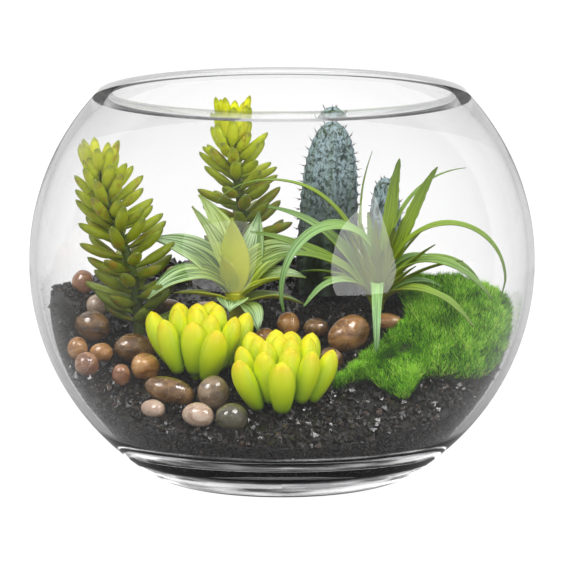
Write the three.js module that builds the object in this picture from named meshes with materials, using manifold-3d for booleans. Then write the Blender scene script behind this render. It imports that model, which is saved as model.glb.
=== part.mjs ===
// A planted glass bubble bowl: a mouth-blown glass sphere with a flat base and an open mouth, a sloping
// bed of black grit, a moss mat, river pebbles and eight plants. Each physical piece is one named mesh.
// Units are millimetres, +Z is up, -Y is the front, and the origin is the centre of the flat base.
import * as THREE from "three";
import { mergeVertices } from "three/addons/utils/BufferGeometryUtils.js";
import Module from "manifold-3d";

const wasm = await Module();
wasm.setup();

// ---------------------------------------------------------------- driving dimensions

const GAP = 0.35; // clearance between two pieces that touch

const BOWL = {
  radius: 100, // outer radius at the widest height
  halfHeight: 98.2, // outer half height of the squashed sphere
  centreZ: 85.6, // height of the widest ring above the base
  innerRadius: 97.2,
  innerHalfHeight: 95.1,
  wallTop: 152.9, // where the wall ends and the rounded lip begins
  height: 154.5,
  bead: 2, // how much the wall thickens inwards up to the lip, and from what height
  beadFrom: 128,
  foot: 44, // radius of the flat base
  punt: 33, // radius of the shallow hollow under the base
  puntDepth: 1.1,
  floorZ: 13, // top of the thick glass floor
  floorRadius: 40,
  floorWallZ: 21, // where the inner wall starts to curve into the floor
  sides: 36,
};

const BED = { level: 50, slope: 0.31, wallGap: 0.8, holeDepth: 13, clods: 0.9 };

// The straight root pegs that stand in the bed's holes: a plump plant's radius, how much wider a hole is
// than its peg, how far a peg ends above its hole's bottom and how far one reaches above the bed.
const PEG = { radius: 3, play: 0.65, lift: 2, reach: 6, sides: 8 };

const MOSS = { centre: [60, -2], thickness: 6, edge: 2.4, points: 32 };

// ---------------------------------------------------------------- small helpers

const degrees = THREE.MathUtils.degToRad;
const vec = (x, y, z) => new THREE.Vector3(x, y, z);
const mix = (a, b, t) => a + (b - a) * t;
const smooth = (t) => THREE.MathUtils.smoothstep(t, 0, 1);
const bell = (x, y, spreadX, spreadY) => Math.exp(-((x / spreadX) ** 2) - (y / spreadY) ** 2);

// A repeatable draw from 0 to 1 for two whole numbers.
function draw(i, k) {
  const s = Math.sin(i * 12.9898 + k * 78.233) * 43758.5453;
  return s - Math.floor(s);
}

// A draw from -1 to 1.
const jitter = (i, k) => 2 * draw(i, k) - 1;

// A closed three.js geometry as a solid that can be joined and cut.
function solid(geometry) {
  const bare = geometry.clone();
  bare.deleteAttribute("normal");
  bare.deleteAttribute("uv");
  const merged = mergeVertices(bare, 1e-4);
  return new wasm.Manifold(
    new wasm.Mesh({
      numProp: 3,
      vertProperties: merged.attributes.position.array,
      triVerts: new Uint32Array(merged.index.array),
    }),
  );
}

// The largest body of a solid: a scrap that a cut leaves loose is dropped.
function mainBody(shape) {
  return shape.decompose().sort((a, b) => b.volume() - a.volume())[0];
}

// A solid back as a three.js geometry.
function geometryOf(shape) {
  const mesh = shape.getMesh();
  const geometry = new THREE.BufferGeometry();
  geometry.setAttribute("position", new THREE.BufferAttribute(new Float32Array(mesh.vertProperties), 3));
  geometry.setIndex(new THREE.BufferAttribute(mesh.triVerts, 1));
  geometry.computeVertexNormals();
  return geometry;
}

// A closed skin over rings of points that all run the same way round, with a point at each end.
function loft(start, rings, end) {
  const n = rings[0].length;
  const points = [start, ...rings.flat(), end];
  const last = points.length - 1;
  const triangles = [];
  for (let j = 0; j < n; j++) {
    const k = (j + 1) % n;
    triangles.push(0, 1 + k, 1 + j);
    for (let i = 0; i < rings.length - 1; i++) {
      const a = 1 + i * n;
      const b = a + n;
      triangles.push(a + j, a + k, b + k, a + j, b + k, b + j);
    }
    const top = 1 + (rings.length - 1) * n;
    triangles.push(last, top + j, top + k);
  }
  const geometry = new THREE.BufferGeometry().setFromPoints(points);
  geometry.setIndex(triangles);
  return geometry;
}

const loftSolid = (start, rings, end) => solid(loft(start, rings, end));

// A ring of n points round a centre, across a direction.
function ringRound(centre, direction, radius, n) {
  const across = vec(0, 0, 1).cross(direction);
  if (across.length() < 0.02) across.set(1, 0, 0);
  across.normalize();
  const up = direction.clone().cross(across).normalize();
  return Array.from({ length: n }, (_, j) => {
    const a = (2 * Math.PI * j) / n;
    return centre
      .clone()
      .addScaledVector(across, radius * Math.cos(a))
      .addScaledVector(up, radius * Math.sin(a));
  });
}

// ---------------------------------------------------------------- bowl

const ellipseRadius = (z, radius, halfHeight) =>
  radius * Math.sqrt(Math.max(0, 1 - ((z - BOWL.centreZ) / halfHeight) ** 2));
const outerRadius = (z) => ellipseRadius(z, BOWL.radius, BOWL.halfHeight);
const bead = (z) => BOWL.bead * Math.max(0, (z - BOWL.beadFrom) / (BOWL.wallTop - BOWL.beadFrom)) ** 2;
const innerRadius = (z) => ellipseRadius(z, BOWL.innerRadius, BOWL.innerHalfHeight) - bead(z);

// Heights along a wall of the bowl, at even steps of the ellipse's own angle, both ends included.
function wallHeights(fromZ, toZ, halfHeight, count) {
  const angle = (z) => Math.asin((z - BOWL.centreZ) / halfHeight);
  const step = (i) => mix(angle(fromZ), angle(toZ), i / (count - 1));
  return Array.from({ length: count }, (_, i) => BOWL.centreZ + halfHeight * Math.sin(step(i)));
}

// The curve from the inner wall into the floor, as [radius, z] points.
function floorCurve(count) {
  const curve = new THREE.QuadraticBezierCurve(
    new THREE.Vector2(innerRadius(BOWL.floorWallZ), BOWL.floorWallZ),
    new THREE.Vector2(innerRadius(BOWL.floorZ) - 1, BOWL.floorZ),
    new THREE.Vector2(BOWL.floorRadius, BOWL.floorZ),
  );
  return curve.getPoints(count - 1);
}

function bowlProfile() {
  const shoulderZ = 3;
  const corner = new THREE.QuadraticBezierCurve(
    new THREE.Vector2(BOWL.foot, 0),
    new THREE.Vector2(BOWL.foot + 5.5, 0),
    new THREE.Vector2(outerRadius(shoulderZ), shoulderZ),
  ).getPoints(2);
  const lipSegments = 3;
  const flatTop = Math.sin((Math.PI * Math.floor(lipSegments / 2)) / lipSegments);
  const lipOut = outerRadius(BOWL.wallTop);
  const lipIn = innerRadius(BOWL.wallTop);
  const lip = new THREE.EllipseCurve(
    (lipOut + lipIn) / 2,
    BOWL.wallTop,
    (lipOut - lipIn) / 2,
    (BOWL.height - BOWL.wallTop) / flatTop,
    0,
    Math.PI,
  ).getPoints(lipSegments);
  return [
    new THREE.Vector2(0, BOWL.puntDepth),
    new THREE.Vector2(BOWL.punt - 4, BOWL.puntDepth),
    new THREE.Vector2(BOWL.punt, 0),
    ...corner,
    ...wallHeights(shoulderZ, BOWL.wallTop, BOWL.halfHeight, 10)
      .slice(1, -1)
      .map((z) => new THREE.Vector2(outerRadius(z), z)),
    ...lip,
    ...wallHeights(BOWL.wallTop, BOWL.floorWallZ, BOWL.innerHalfHeight, 9)
      .slice(1, -1)
      .map((z) => new THREE.Vector2(innerRadius(z), z)),
    ...floorCurve(3),
    new THREE.Vector2(0, BOWL.floorZ),
  ];
}

function bowl() {
  const turned = new THREE.LatheGeometry(bowlProfile(), BOWL.sides);
  turned.rotateX(Math.PI / 2);
  return solid(turned);
}

// ---------------------------------------------------------------- grit bed

// The height of the bed: it climbs to the back, with a heap on the right under the moss, one at the
// back left, one against the left wall, and a level strip behind the right heap.
function bedHeight(x, y) {
  const crest = 34 + 28 * smooth((40 - x) / 45);
  const beyond = Math.max(0, y - crest);
  const climb = Math.min(y, crest) + 9.6 * (1 - Math.exp(-beyond / 16));
  return (
    BED.level +
    BED.slope * climb +
    11 * bell(x - 68, y - 16, 36, 30) +
    7 * bell(x + 80, y - 38, 20, 22) +
    15 * bell(x + 92, y - 12, 12, 20) +
    0.6 * Math.sin(x * 0.31 + 1.1) * Math.cos(y * 0.27 - 0.4)
  );
}

// How far from the axis the bed meets the inner wall, in the direction of an angle.
function bedRim(angle) {
  let r = 80;
  for (let i = 0; i < 40; i++) {
    const z = bedHeight(r * Math.cos(angle), r * Math.sin(angle));
    r = innerRadius(z) - BED.wallGap;
  }
  return r;
}

function bed() {
  const n = BOWL.sides;
  const topSteps = [0.22, 0.43, 0.63, 0.82, 1];
  const wallSteps = 3;
  const floor = floorCurve(3);
  const angles = Array.from({ length: n }, (_, j) => (2 * Math.PI * j) / n);
  const rims = angles.map(bedRim);
  const ring = (place) => angles.map((a, j) => vec(...place(a, rims[j])));
  const clod = (s, a) => (s < 1 ? BED.clods * jitter(Math.round(100 * s), Math.round(18 * a)) : 0);
  const onTop = (s) =>
    ring((a, rim) => {
      const x = s * rim * Math.cos(a);
      const y = s * rim * Math.sin(a);
      return [x, y, bedHeight(x, y) + clod(s, a)];
    });
  const onWall = (t) =>
    ring((a, rim) => {
      const topZ = bedHeight(rim * Math.cos(a), rim * Math.sin(a));
      const z = mix(topZ, BOWL.floorWallZ + BED.wallGap, t);
      const r = innerRadius(z) - BED.wallGap;
      return [r * Math.cos(a), r * Math.sin(a), z];
    });
  const onFloor = (p) => ring((a) => [(p.x - 1) * Math.cos(a), (p.x - 1) * Math.sin(a), p.y + BED.wallGap]);
  const rings = [
    ...topSteps.map(onTop),
    ...Array.from({ length: wallSteps }, (_, i) => onWall((i + 1) / wallSteps)),
    ...floor.slice(1).map(onFloor),
  ].reverse();
  return loftSolid(vec(0, 0, BOWL.floorZ + BED.wallGap), rings, vec(0, 0, bedHeight(0, 0)));
}

// ---------------------------------------------------------------- moss mat

// The mat's outline on the bed, from the front left corner round by the front scallops to the back.
const MOSS_OUTLINE = [
  [21, -33],
  [33, -28],
  [47, -42],
  [56, -28],
  [77, -27.8],
  [87.5, -12.4],
  [90.8, 0],
  [91.2, 18.2],
  [76, 36],
  [57, 44],
  [48, 34],
  [49, 17],
  [50, 7],
  [42, -5],
  [35, -13],
  [28, -22],
];

function mossOutline() {
  const curve = new THREE.CatmullRomCurve3(
    MOSS_OUTLINE.map(([x, y]) => vec(x, y, 0)),
    true,
  );
  return curve.getPoints(MOSS.points).slice(0, -1);
}

function mossTop(x, y, s) {
  const rim = MOSS.edge + (MOSS.thickness - MOSS.edge) * Math.sqrt(Math.max(0, 1 - s ** 4));
  const tufts = 0.7 * Math.sin(x * 0.55) * Math.cos(y * 0.6 + 0.8);
  return bedHeight(x, y) + rim + (s < 1 ? tufts : 0);
}

function moss(bedSolid) {
  const edge = mossOutline();
  const [cx, cy] = MOSS.centre;
  const ringAt = (s, height) =>
    edge.map((p) => {
      const x = mix(cx, p.x, s);
      const y = mix(cy, p.y, s);
      return vec(x, y, height(x, y, s));
    });
  const under = (x, y) => bedHeight(x, y) - 1.5;
  const rings = [
    ...[0.5, 0.97].map((s) => ringAt(s, under)),
    ...[1, 0.9, 0.72, 0.5, 0.26].map((s) => ringAt(s, mossTop)),
  ];
  const raw = loftSolid(vec(cx, cy, under(cx, cy)), rings, vec(cx, cy, mossTop(cx, cy, 0)));
  return mainBody(raw.subtract(bedSolid.translate([0, 0, GAP])));
}

// ---------------------------------------------------------------- pebbles

// Each pebble: where it lies, its half sizes, its turn and tilt in degrees, how far its middle stands
// above the bed as a share of its half height, and its colour.
const PEBBLES = {
  pebble_front_bean: { at: [-44, -41], size: [10, 5.6, 5.2], turn: -8, tilt: 14, stand: 0.85, colour: "brown" },
  pebble_front_round: { at: [-26.5, -44.5], size: [6.4, 6, 6.6], turn: 0, tilt: 0, stand: 0.82, colour: "taupe" },
  pebble_front_pale: { at: [-32, -58.5], size: [6.2, 5, 4.8], turn: -15, tilt: 4, stand: 0.72, colour: "pale" },
  pebble_front_olive: { at: [-19.6, -60.5], size: [6.2, 5.6, 5.6], turn: 20, tilt: 0, stand: 0.72, colour: "olive" },
  pebble_front_pink: { at: [-49.5, -51], size: [5.2, 3.6, 3.4], turn: -40, tilt: 0, stand: 0.72, colour: "pale" },
  pebble_left_orange: { at: [-53.5, -23], size: [6, 5, 5.6], turn: 35, tilt: 10, stand: 0.82, colour: "orange" },
  pebble_left_small: { at: [-63, -27.5], size: [3.6, 3.4, 4.4], turn: 0, tilt: 0, stand: 0.82, colour: "rose" },
  pebble_left_tan: { at: [-71.5, -10.5], size: [4.8, 3.8, 3.8], turn: -20, tilt: 0, stand: 0.82, colour: "orange" },
  pebble_left_wet: { at: [-58, -7.5], size: [8.6, 6.2, 6], turn: 10, tilt: 6, stand: 0.72, colour: "brown" },
  pebble_left_big: { at: [-76, 2.5], size: [7.2, 5.8, 6.4], turn: -10, tilt: 8, stand: 0.82, colour: "brown" },
  pebble_left_wall: { at: [-81, -10.5], size: [4.2, 4.2, 4.8], turn: 0, tilt: 0, stand: 0.82, colour: "orange" },
  pebble_left_low: { at: [-76.5, -20.5], size: [4.8, 4.6, 5], turn: 20, tilt: 0, stand: 0.72, colour: "rose" },
  pebble_heap_red: { at: [-81, 27], size: [4.6, 4, 5.4], turn: 0, tilt: 14, stand: 0.82, colour: "rose" },
  pebble_heap_grey: { at: [-74.5, 19.5], size: [5, 4.4, 4.2], turn: 15, tilt: 0, stand: 0.82, colour: "pale" },
  pebble_back_pink: { at: [-51, 70], size: [3.6, 4, 4.4], turn: 0, tilt: 0, stand: 0.82, colour: "rose" },
  pebble_back_orange: { at: [-44, 57], size: [4.2, 4, 3.6], turn: 0, tilt: 0, stand: 0.82, colour: "orange" },
  pebble_back_pale: { at: [-34, 74], size: [5.4, 4.4, 4.4], turn: 10, tilt: 0, stand: 0.82, colour: "pale" },
  pebble_mid_maroon: { at: [-46, 27], size: [6, 4.8, 4], turn: -12, tilt: 0, stand: 0.82, colour: "brown" },
  pebble_mid_grey: { at: [-31, 24], size: [4.8, 4.2, 4.6], turn: 0, tilt: 0, stand: 0.82, colour: "pale" },
  pebble_mid_brown: { at: [-7, 2], size: [4.6, 4.4, 4.4], turn: 30, tilt: 0, stand: 0.82, colour: "orange" },
  pebble_mid_orange: { at: [2.5, 13], size: [4.8, 4.2, 4.6], turn: -25, tilt: 12, stand: 0.82, colour: "orange" },
  pebble_mid_dark: { at: [13.5, 8], size: [5, 4.4, 4.2], turn: 0, tilt: 0, stand: 0.82, colour: "brown" },
  pebble_right_big: { at: [26, -3.5], size: [9.2, 6.2, 7], turn: 28, tilt: -24, stand: 0.82, colour: "tan" },
  pebble_right_glossy: { at: [19, -15.5], size: [5.2, 4.2, 4.2], turn: -20, tilt: 8, stand: 0.82, colour: "brown" },
  pebble_right_tan: { at: [42, 4.5], size: [6, 4, 3.4], turn: -8, tilt: 0, stand: 0.82, colour: "tan" },
};

// A water-worn stone: a sphere pressed to size, with a few slow waves that differ from stone to stone.
function pebbleShape(pebble, seed, grow) {
  const large = pebble.size[0] > 5.5;
  const ball = large ? new THREE.IcosahedronGeometry(1, 1) : new THREE.DodecahedronGeometry(1.08);
  const position = ball.getAttribute("position");
  const p = vec(0, 0, 0);
  for (let i = 0; i < position.count; i++) {
    p.fromBufferAttribute(position, i);
    const wave = 1 + 0.07 * Math.sin(2.1 * p.x + seed) * Math.cos(1.7 * p.y - seed) - 0.04 * p.x * p.z;
    p.multiplyScalar(wave);
    position.setXYZ(
      i,
      p.x * (pebble.size[0] + grow),
      p.y * (pebble.size[1] + grow),
      p.z * (pebble.size[2] + grow),
    );
  }
  const [x, y] = pebble.at;
  ball.rotateY(degrees(pebble.tilt));
  ball.rotateZ(degrees(pebble.turn));
  ball.translate(x, y, bedHeight(x, y) + pebble.stand * pebble.size[2]);
  return solid(ball);
}

// ---------------------------------------------------------------- stems and leaves

// The way along a leaf: it leaves its root at one lift and ends at another, in degrees above level. A
// bend over 1 keeps the turn for the end of the leaf, and a roll tips its upper face to one side.
// Stations are shares of its length, the tip last.
function leafLine({ root, azimuth, length, rise, fall, stations, bend = 1, roll = 0 }) {
  const steps = 40;
  const turn = degrees(azimuth);
  const level = vec(-Math.sin(turn), Math.cos(turn), 0);
  const line = [];
  const at = root.clone();
  for (let i = 0; i <= steps; i++) {
    const s = i / steps;
    const lift = degrees(mix(rise, fall, s ** bend));
    const along = vec(Math.cos(lift) * Math.cos(turn), Math.cos(lift) * Math.sin(turn), Math.sin(lift));
    if (line.length < stations.length && s >= stations[line.length] - 1e-6) {
      const side = level.clone().applyAxisAngle(along, degrees(roll));
      line.push({ s, at: at.clone(), along, side, up: along.clone().cross(side) });
    }
    at.addScaledVector(along, length / steps);
  }
  return line;
}

const evenStations = (count) => Array.from({ length: count + 1 }, (_, i) => i / count);

// A leaf's skin: one ring of section points at each station, closed behind the root and at the tip.
function leafSkin(line, section) {
  const [first] = line;
  const tip = line[line.length - 1];
  const rings = line.slice(0, -1).map((station) => {
    const { at, side, up } = station;
    return section(station).map(([across, height]) =>
      at.clone().addScaledVector(side, across).addScaledVector(up, height),
    );
  });
  return loftSolid(first.at.clone().addScaledVector(first.along, -0.6), rings, tip.at);
}

// A thin arched blade with a folded midrib: fold lifts its edges above the midrib.
function blade(leaf) {
  const half = leaf.thickness / 2;
  return leafSkin(leafLine(leaf), ({ s }) => {
    const w = (leaf.width / 2) * leaf.profile(s);
    const lift = leaf.fold * w;
    const edge = 0.8 * half;
    return [
      [w, lift + edge],
      [0, half],
      [-w, lift + edge],
      [-w, lift - edge],
      [0, -half],
      [w, lift - edge],
    ];
  });
}

// A fat leaf, oval in section.
function fatLeaf(leaf) {
  return leafSkin(leafLine(leaf), ({ s }) => {
    const w = (leaf.width / 2) * leaf.profile(s);
    const t = (leaf.thickness / 2) * leaf.profile(s);
    return Array.from({ length: leaf.sides }, (_, j) => {
      const a = (2 * Math.PI * j) / leaf.sides;
      return [w * Math.cos(a), t * Math.sin(a)];
    });
  });
}

// A round stem through points, with its radius at each point.
function stalk(points, radii, sides) {
  const last = points.length - 1;
  const tangent = (i) => points[Math.min(last, i + 1)].clone().sub(points[Math.max(0, i - 1)]).normalize();
  const rings = points.map((p, i) => ringRound(p, tangent(i), radii[i], sides));
  return loftSolid(points[0], rings, points[last].clone().addScaledVector(tangent(last), 0.5 * radii[last]));
}

// The part of a plant that stands in the bed: a straight peg from its hole up to a height z, where it
// may swell into the heart that the leaves grow from.
function peg([x, y], radius, topZ, heartRadius = radius) {
  const ground = bedHeight(x, y);
  const swell = Math.min(topZ - 1, Math.max(ground + 1, topZ - 2 * heartRadius));
  const points = [ground - BED.holeDepth + PEG.lift, swell, topZ].map((z) => vec(x, y, z));
  return stalk(points, [radius, radius, heartRadius], PEG.sides);
}

// ---------------------------------------------------------------- stonecrops (the two upright leafy stems)

const GOLDEN_ANGLE = 137.508;

// Each stem's path above the bed, its leaves from the first leafy share of the path up, and their sizes.
const STONECROPS = {
  stonecrop_left: {
    path: [
      [-57, 11, 54],
      [-58, 10.5, 68],
      [-61, 9.5, 84],
      [-66.5, 7.5, 100],
      [-70.5, 6, 112],
      [-73, 5, 122],
    ],
    leaves: 40,
    first: 0.1,
    leafLength: [19.5, 14.5],
    leafWidth: 7.3,
    rise: [18, 66],
    curl: 18,
    stemRadius: 2.2,
  },
  stonecrop_middle: {
    path: [
      [-14, 46, 64],
      [-14.5, 45.5, 80],
      [-16, 45, 96],
      [-18, 44, 110],
      [-19.5, 43, 122],
      [-20.5, 42, 132],
    ],
    leaves: 34,
    first: 0.26,
    leafLength: [18.5, 14.5],
    leafWidth: 7.3,
    rise: [16, 70],
    curl: 18,
    stemRadius: 2,
  },
};

// The share of full girth along a club-shaped leaf.
const clubGirth = (s) => (0.34 + 0.66 * smooth(s / 0.5)) * Math.sqrt(Math.max(0, 1 - s ** 4));

function stonecropLeaves({ path, leaves, first, leafLength, leafWidth, rise, curl, stemRadius }, seed) {
  const curve = new THREE.CatmullRomCurve3(path.map((p) => vec(...p)));
  return Array.from({ length: leaves }, (_, i) => {
    const t = i / (leaves - 1);
    const crowded = 1 - (1 - t) ** 1.35;
    const azimuth = GOLDEN_ANGLE * i + seed + 9 * jitter(i, seed + 1);
    const out = vec(Math.cos(degrees(azimuth)), Math.sin(degrees(azimuth)), 0);
    const lift = mix(rise[0], rise[1], t ** 2.6) + 7 * jitter(i, seed);
    return {
      root: curve.getPointAt(mix(first, 1, crowded)).addScaledVector(out, 0.8 * stemRadius),
      azimuth,
      length: mix(leafLength[0], leafLength[1], t) * (1 + 0.09 * jitter(i, seed + 2)),
      rise: lift,
      fall: lift + curl * (1 - 0.6 * t),
      width: leafWidth * mix(1, 0.8, t),
      thickness: leafWidth * mix(0.84, 0.68, t),
      profile: clubGirth,
      stations: [0, 0.45, 0.86, 1],
      sides: 5,
    };
  });
}

function stonecrop(spec, seed) {
  const { path, stemRadius } = spec;
  const points = path.map((p) => vec(...p));
  const radii = points.map((_, i) => stemRadius * mix(1, 0.7, i / (points.length - 1)));
  const [x, y] = path[0];
  const stem = [peg([x, y], stemRadius, bedHeight(x, y) + PEG.reach), stalk(points, radii, 7)];
  return [...stem, ...stonecropLeaves(spec, seed).map(fatLeaf)];
}

// ---------------------------------------------------------------- rosettes (the two plump yellow-green heads)

const ROSETTES = {
  rosette_left: { at: [-33, -21.5], leaves: 13, leafLength: 22.5, leafWidth: 11.4, core: 10.5, turn: 20 },
  rosette_right: { at: [0, -43.5], leaves: 17, leafLength: 21.5, leafWidth: 11, core: 12, turn: 80 },
};

// The share of full girth along an egg-shaped leaf.
const eggGirth = (s) => (0.56 + 0.44 * Math.sin(Math.PI * Math.min(1, s / 1.05))) * Math.sqrt(1 - s ** 6);

function rosetteLeaves({ at, leaves, leafLength, leafWidth, core, turn }) {
  const [x, y] = at;
  return Array.from({ length: leaves }, (_, i) => {
    const inner = i / (leaves - 1);
    const azimuth = turn + GOLDEN_ANGLE * i;
    const out = core * Math.sqrt(1 - inner);
    const rootX = x + out * Math.cos(degrees(azimuth));
    const rootY = y + out * Math.sin(degrees(azimuth));
    const rise = mix(54, 84, inner) + 3 * jitter(i, turn);
    return {
      root: vec(rootX, rootY, bedHeight(rootX, rootY) + mix(2.6, 7, inner)),
      azimuth,
      length: leafLength * mix(1, 0.9, inner),
      rise,
      fall: rise + mix(20, 6, inner),
      width: leafWidth * mix(1, 0.86, inner),
      thickness: leafWidth * mix(0.74, 0.66, inner),
      profile: eggGirth,
      stations: [0, 0.45, 0.92, 1],
      sides: 6,
    };
  });
}

function rosette(spec) {
  const heartRadius = 9;
  const heart = peg(spec.at, PEG.radius, bedHeight(...spec.at) + PEG.reach, heartRadius);
  return [heart, ...rosetteLeaves(spec).map(fatLeaf)];
}

// ---------------------------------------------------------------- cacti

const CACTI = {
  cactus_tall: { foot: [18, 50.5], top: [20.5, 48, 141], ribs: 7, radius: 13.4, rows: 5, spine: 4.4, turn: 12 },
  cactus_small: { foot: [42, 42], top: [42, 41, 114], ribs: 6, radius: 8.2, rows: 2, spine: 3.4, turn: 40 },
};
const RIB_DEPTH = 0.13;

// The share of full girth from the ground (0) to the crown (1): a slow taper closed by a blunt dome.
const cactusGirth = (t) => (1 - 0.2 * t) * Math.sqrt(Math.max(0, 1 - t ** 6));

function cactusSpine(skin, out, lift, length) {
  const along = out.clone().add(vec(0, 0, lift)).normalize();
  const foot = skin.clone().addScaledVector(along, -1.2);
  return loftSolid(
    foot.clone().addScaledVector(along, -0.2),
    [ringRound(foot, along, 0.7, 3)],
    skin.clone().addScaledVector(along, length),
  );
}

function cactus({ foot, top, ribs, radius, rows, spine, turn }) {
  const sunk = 1.5;
  const base = vec(foot[0], foot[1], bedHeight(...foot) - sunk);
  const crown = vec(...top);
  const axis = crown.clone().sub(base);
  const rib = (a) => 1 - RIB_DEPTH * (0.5 - 0.5 * Math.cos(ribs * a));
  const outward = (a) => vec(Math.cos(a + degrees(turn)), Math.sin(a + degrees(turn)), 0);
  const ringAt = (t) =>
    Array.from({ length: 2 * ribs }, (_, j) => {
      const a = (Math.PI * j) / ribs;
      return base.clone().addScaledVector(axis, t).addScaledVector(outward(a), radius * cactusGirth(t) * rib(a));
    });
  const body = loftSolid(base, [0.01, 0.35, 0.65, 0.82, 0.92, 0.98].map(ringAt), crown);
  const spines = [];
  for (let row = 0; row < rows; row++) {
    for (let j = 0; j < ribs; j++) {
      const t = mix(0.16, 0.985, (row + 0.5 * (j % 2)) / (rows - 0.5));
      const out = outward((2 * Math.PI * j) / ribs);
      const skin = base.clone().addScaledVector(axis, t).addScaledVector(out, radius * cactusGirth(t));
      const lift = mix(0.2, 2.4, smooth((t - 0.7) / 0.3));
      spines.push(cactusSpine(skin, out, lift, spine * (1 + 0.2 * jitter(row, j))));
    }
  }
  return [peg(foot, PEG.radius, bedHeight(...foot) + PEG.reach), body, ...spines];
}

// ---------------------------------------------------------------- striped star plant (broad pointed leaves)

const STAR = { at: [-18.5, 9], crownZ: 71, stemRadius: 2.6, heartRadius: 4.4, thickness: 1, fold: 0.3 };

const STAR_LEAVES = [
  { azimuth: 168, length: 42, rise: 70, fall: 0, width: 15, bend: 0.8, roll: -34 },
  { azimuth: 206, length: 42, rise: 58, fall: -50, width: 12.5, bend: 0.85, roll: -24 },
  { azimuth: 258, length: 32, rise: 84, fall: 80, width: 12.5 },
  { azimuth: 200, length: 40, rise: 78, fall: 54, width: 13, bend: 0.9, roll: -40 },
  { azimuth: 150, length: 43, rise: 94, fall: 42, width: 15, roll: -20 },
  { azimuth: 318, length: 22, rise: 88, fall: 86, width: 9 },
  { azimuth: 55, length: 35, rise: 52, fall: 80, width: 13, roll: 10 },
  { azimuth: 22, length: 38, rise: 72, fall: -32, width: 14, bend: 1.1, roll: 34 },
  { azimuth: 352, length: 29, rise: 48, fall: -18, width: 14, roll: 16 },
  { azimuth: 10, length: 27, rise: 20, fall: -28, width: 12 },
  { azimuth: 262, length: 15, rise: 24, fall: -40, width: 13 },
  { azimuth: 304, length: 19, rise: 16, fall: -84, width: 10 },
  { azimuth: 104, length: 34, rise: 56, fall: -10, width: 12 },
];

// The share of full width along a broad pointed leaf, narrow where it clasps the stem.
const starWidth = (s) => Math.max(0.1, Math.sin(Math.PI * (0.06 + 0.94 * s) ** 0.8));

function starPlant() {
  const [x, y] = STAR.at;
  const leaves = STAR_LEAVES.map((leaf) => {
    const a = degrees(leaf.azimuth);
    const drop = 5 * smooth((60 - leaf.rise) / 60);
    return blade({
      ...leaf,
      root: vec(x + 2 * Math.cos(a), y + 2 * Math.sin(a), STAR.crownZ - drop),
      thickness: STAR.thickness,
      fold: STAR.fold,
      profile: starWidth,
      stations: evenStations(leaf.length > 30 ? 5 : 4),
    });
  });
  return [peg(STAR.at, STAR.stemRadius, STAR.crownZ + 1, STAR.heartRadius), ...leaves];
}

// ---------------------------------------------------------------- air plant (long narrow arching leaves)

const AIR = { at: [38.5, 22], crownZ: 69, stemRadius: 2.6, heartRadius: 5, thickness: 0.9, fold: 0.3 };

const AIR_LEAVES = [
  { azimuth: 178, length: 93, rise: 78, fall: -56, width: 4, bend: 1.6, roll: -16 },
  { azimuth: 186, length: 58, rise: 64, fall: 8, width: 6.4, bend: 1.3, roll: -46 },
  { azimuth: 216, length: 90, rise: 110, fall: -112, width: 6.6, bend: 0.92, roll: -40 },
  { azimuth: 197, length: 60, rise: 52, fall: 10, width: 6.6, bend: 0.8, roll: -46 },
  { azimuth: 205, length: 56, rise: 52, fall: -22, width: 5.6, bend: 1.2, roll: -30 },
  { azimuth: 226, length: 46, rise: 44, fall: -50, width: 5.8, bend: 1.2, roll: -20 },
  { azimuth: 268, length: 60, rise: 50, fall: -124, width: 7.2 },
  { azimuth: 20, length: 57, rise: 86, fall: 80, width: 5.6, roll: 70, strap: true },
  { azimuth: 358, length: 57, rise: 74, fall: 61, width: 5.4, roll: 70, strap: true },
  { azimuth: 12, length: 68, rise: 88, fall: 0, width: 3, bend: 1.6, roll: 30 },
  { azimuth: 190, length: 62, rise: 68, fall: 108, width: 2.8, bend: 0.8, roll: -30 },
  { azimuth: 340, length: 88, rise: 78, fall: -118, width: 4.6, bend: 1.35, roll: 24 },
  { azimuth: 6, length: 52, rise: 64, fall: -70, width: 5, bend: 1.1, roll: 24 },
  { azimuth: 331, length: 60, rise: 76, fall: -56, width: 7.2, bend: 0.75, roll: 20 },
  { azimuth: 312, length: 57, rise: 38, fall: -42, width: 6.8, bend: 0.85, roll: 10 },
  { azimuth: 350, length: 27, rise: 50, fall: -31, width: 6, roll: 20 },
  { azimuth: 345, length: 32, rise: 88, fall: -30, width: 5, bend: 1.1, roll: 30 },
];

// The share of full width along a narrow leaf that tapers from a broad base to a thread.
const airWidth = (s) => Math.max(0.16, 0.62 + 0.55 * smooth(s / 0.16) - 1.02 * s ** 1.2);

// The share of full width along a leaf that stays broad and ends in a blunt tip.
const strapWidth = (s) => 0.7 + 0.3 * smooth(s / 0.2) - 0.55 * smooth((s - 0.55) / 0.45);

function airPlant() {
  const [x, y] = AIR.at;
  const leaves = AIR_LEAVES.map((leaf) => {
    const a = degrees(leaf.azimuth);
    const drop = 3 * smooth((70 - leaf.rise) / 40);
    return blade({
      ...leaf,
      root: vec(x + 2.2 * Math.cos(a), y + 2.2 * Math.sin(a), AIR.crownZ - drop),
      thickness: AIR.thickness,
      fold: AIR.fold,
      profile: leaf.strap ? strapWidth : airWidth,
      stations: evenStations(Math.max(4, Math.round(leaf.length / 12))),
    });
  });
  return [peg(AIR.at, AIR.stemRadius, AIR.crownZ + 1, AIR.heartRadius), ...leaves];
}

// ---------------------------------------------------------------- assembly

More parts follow.
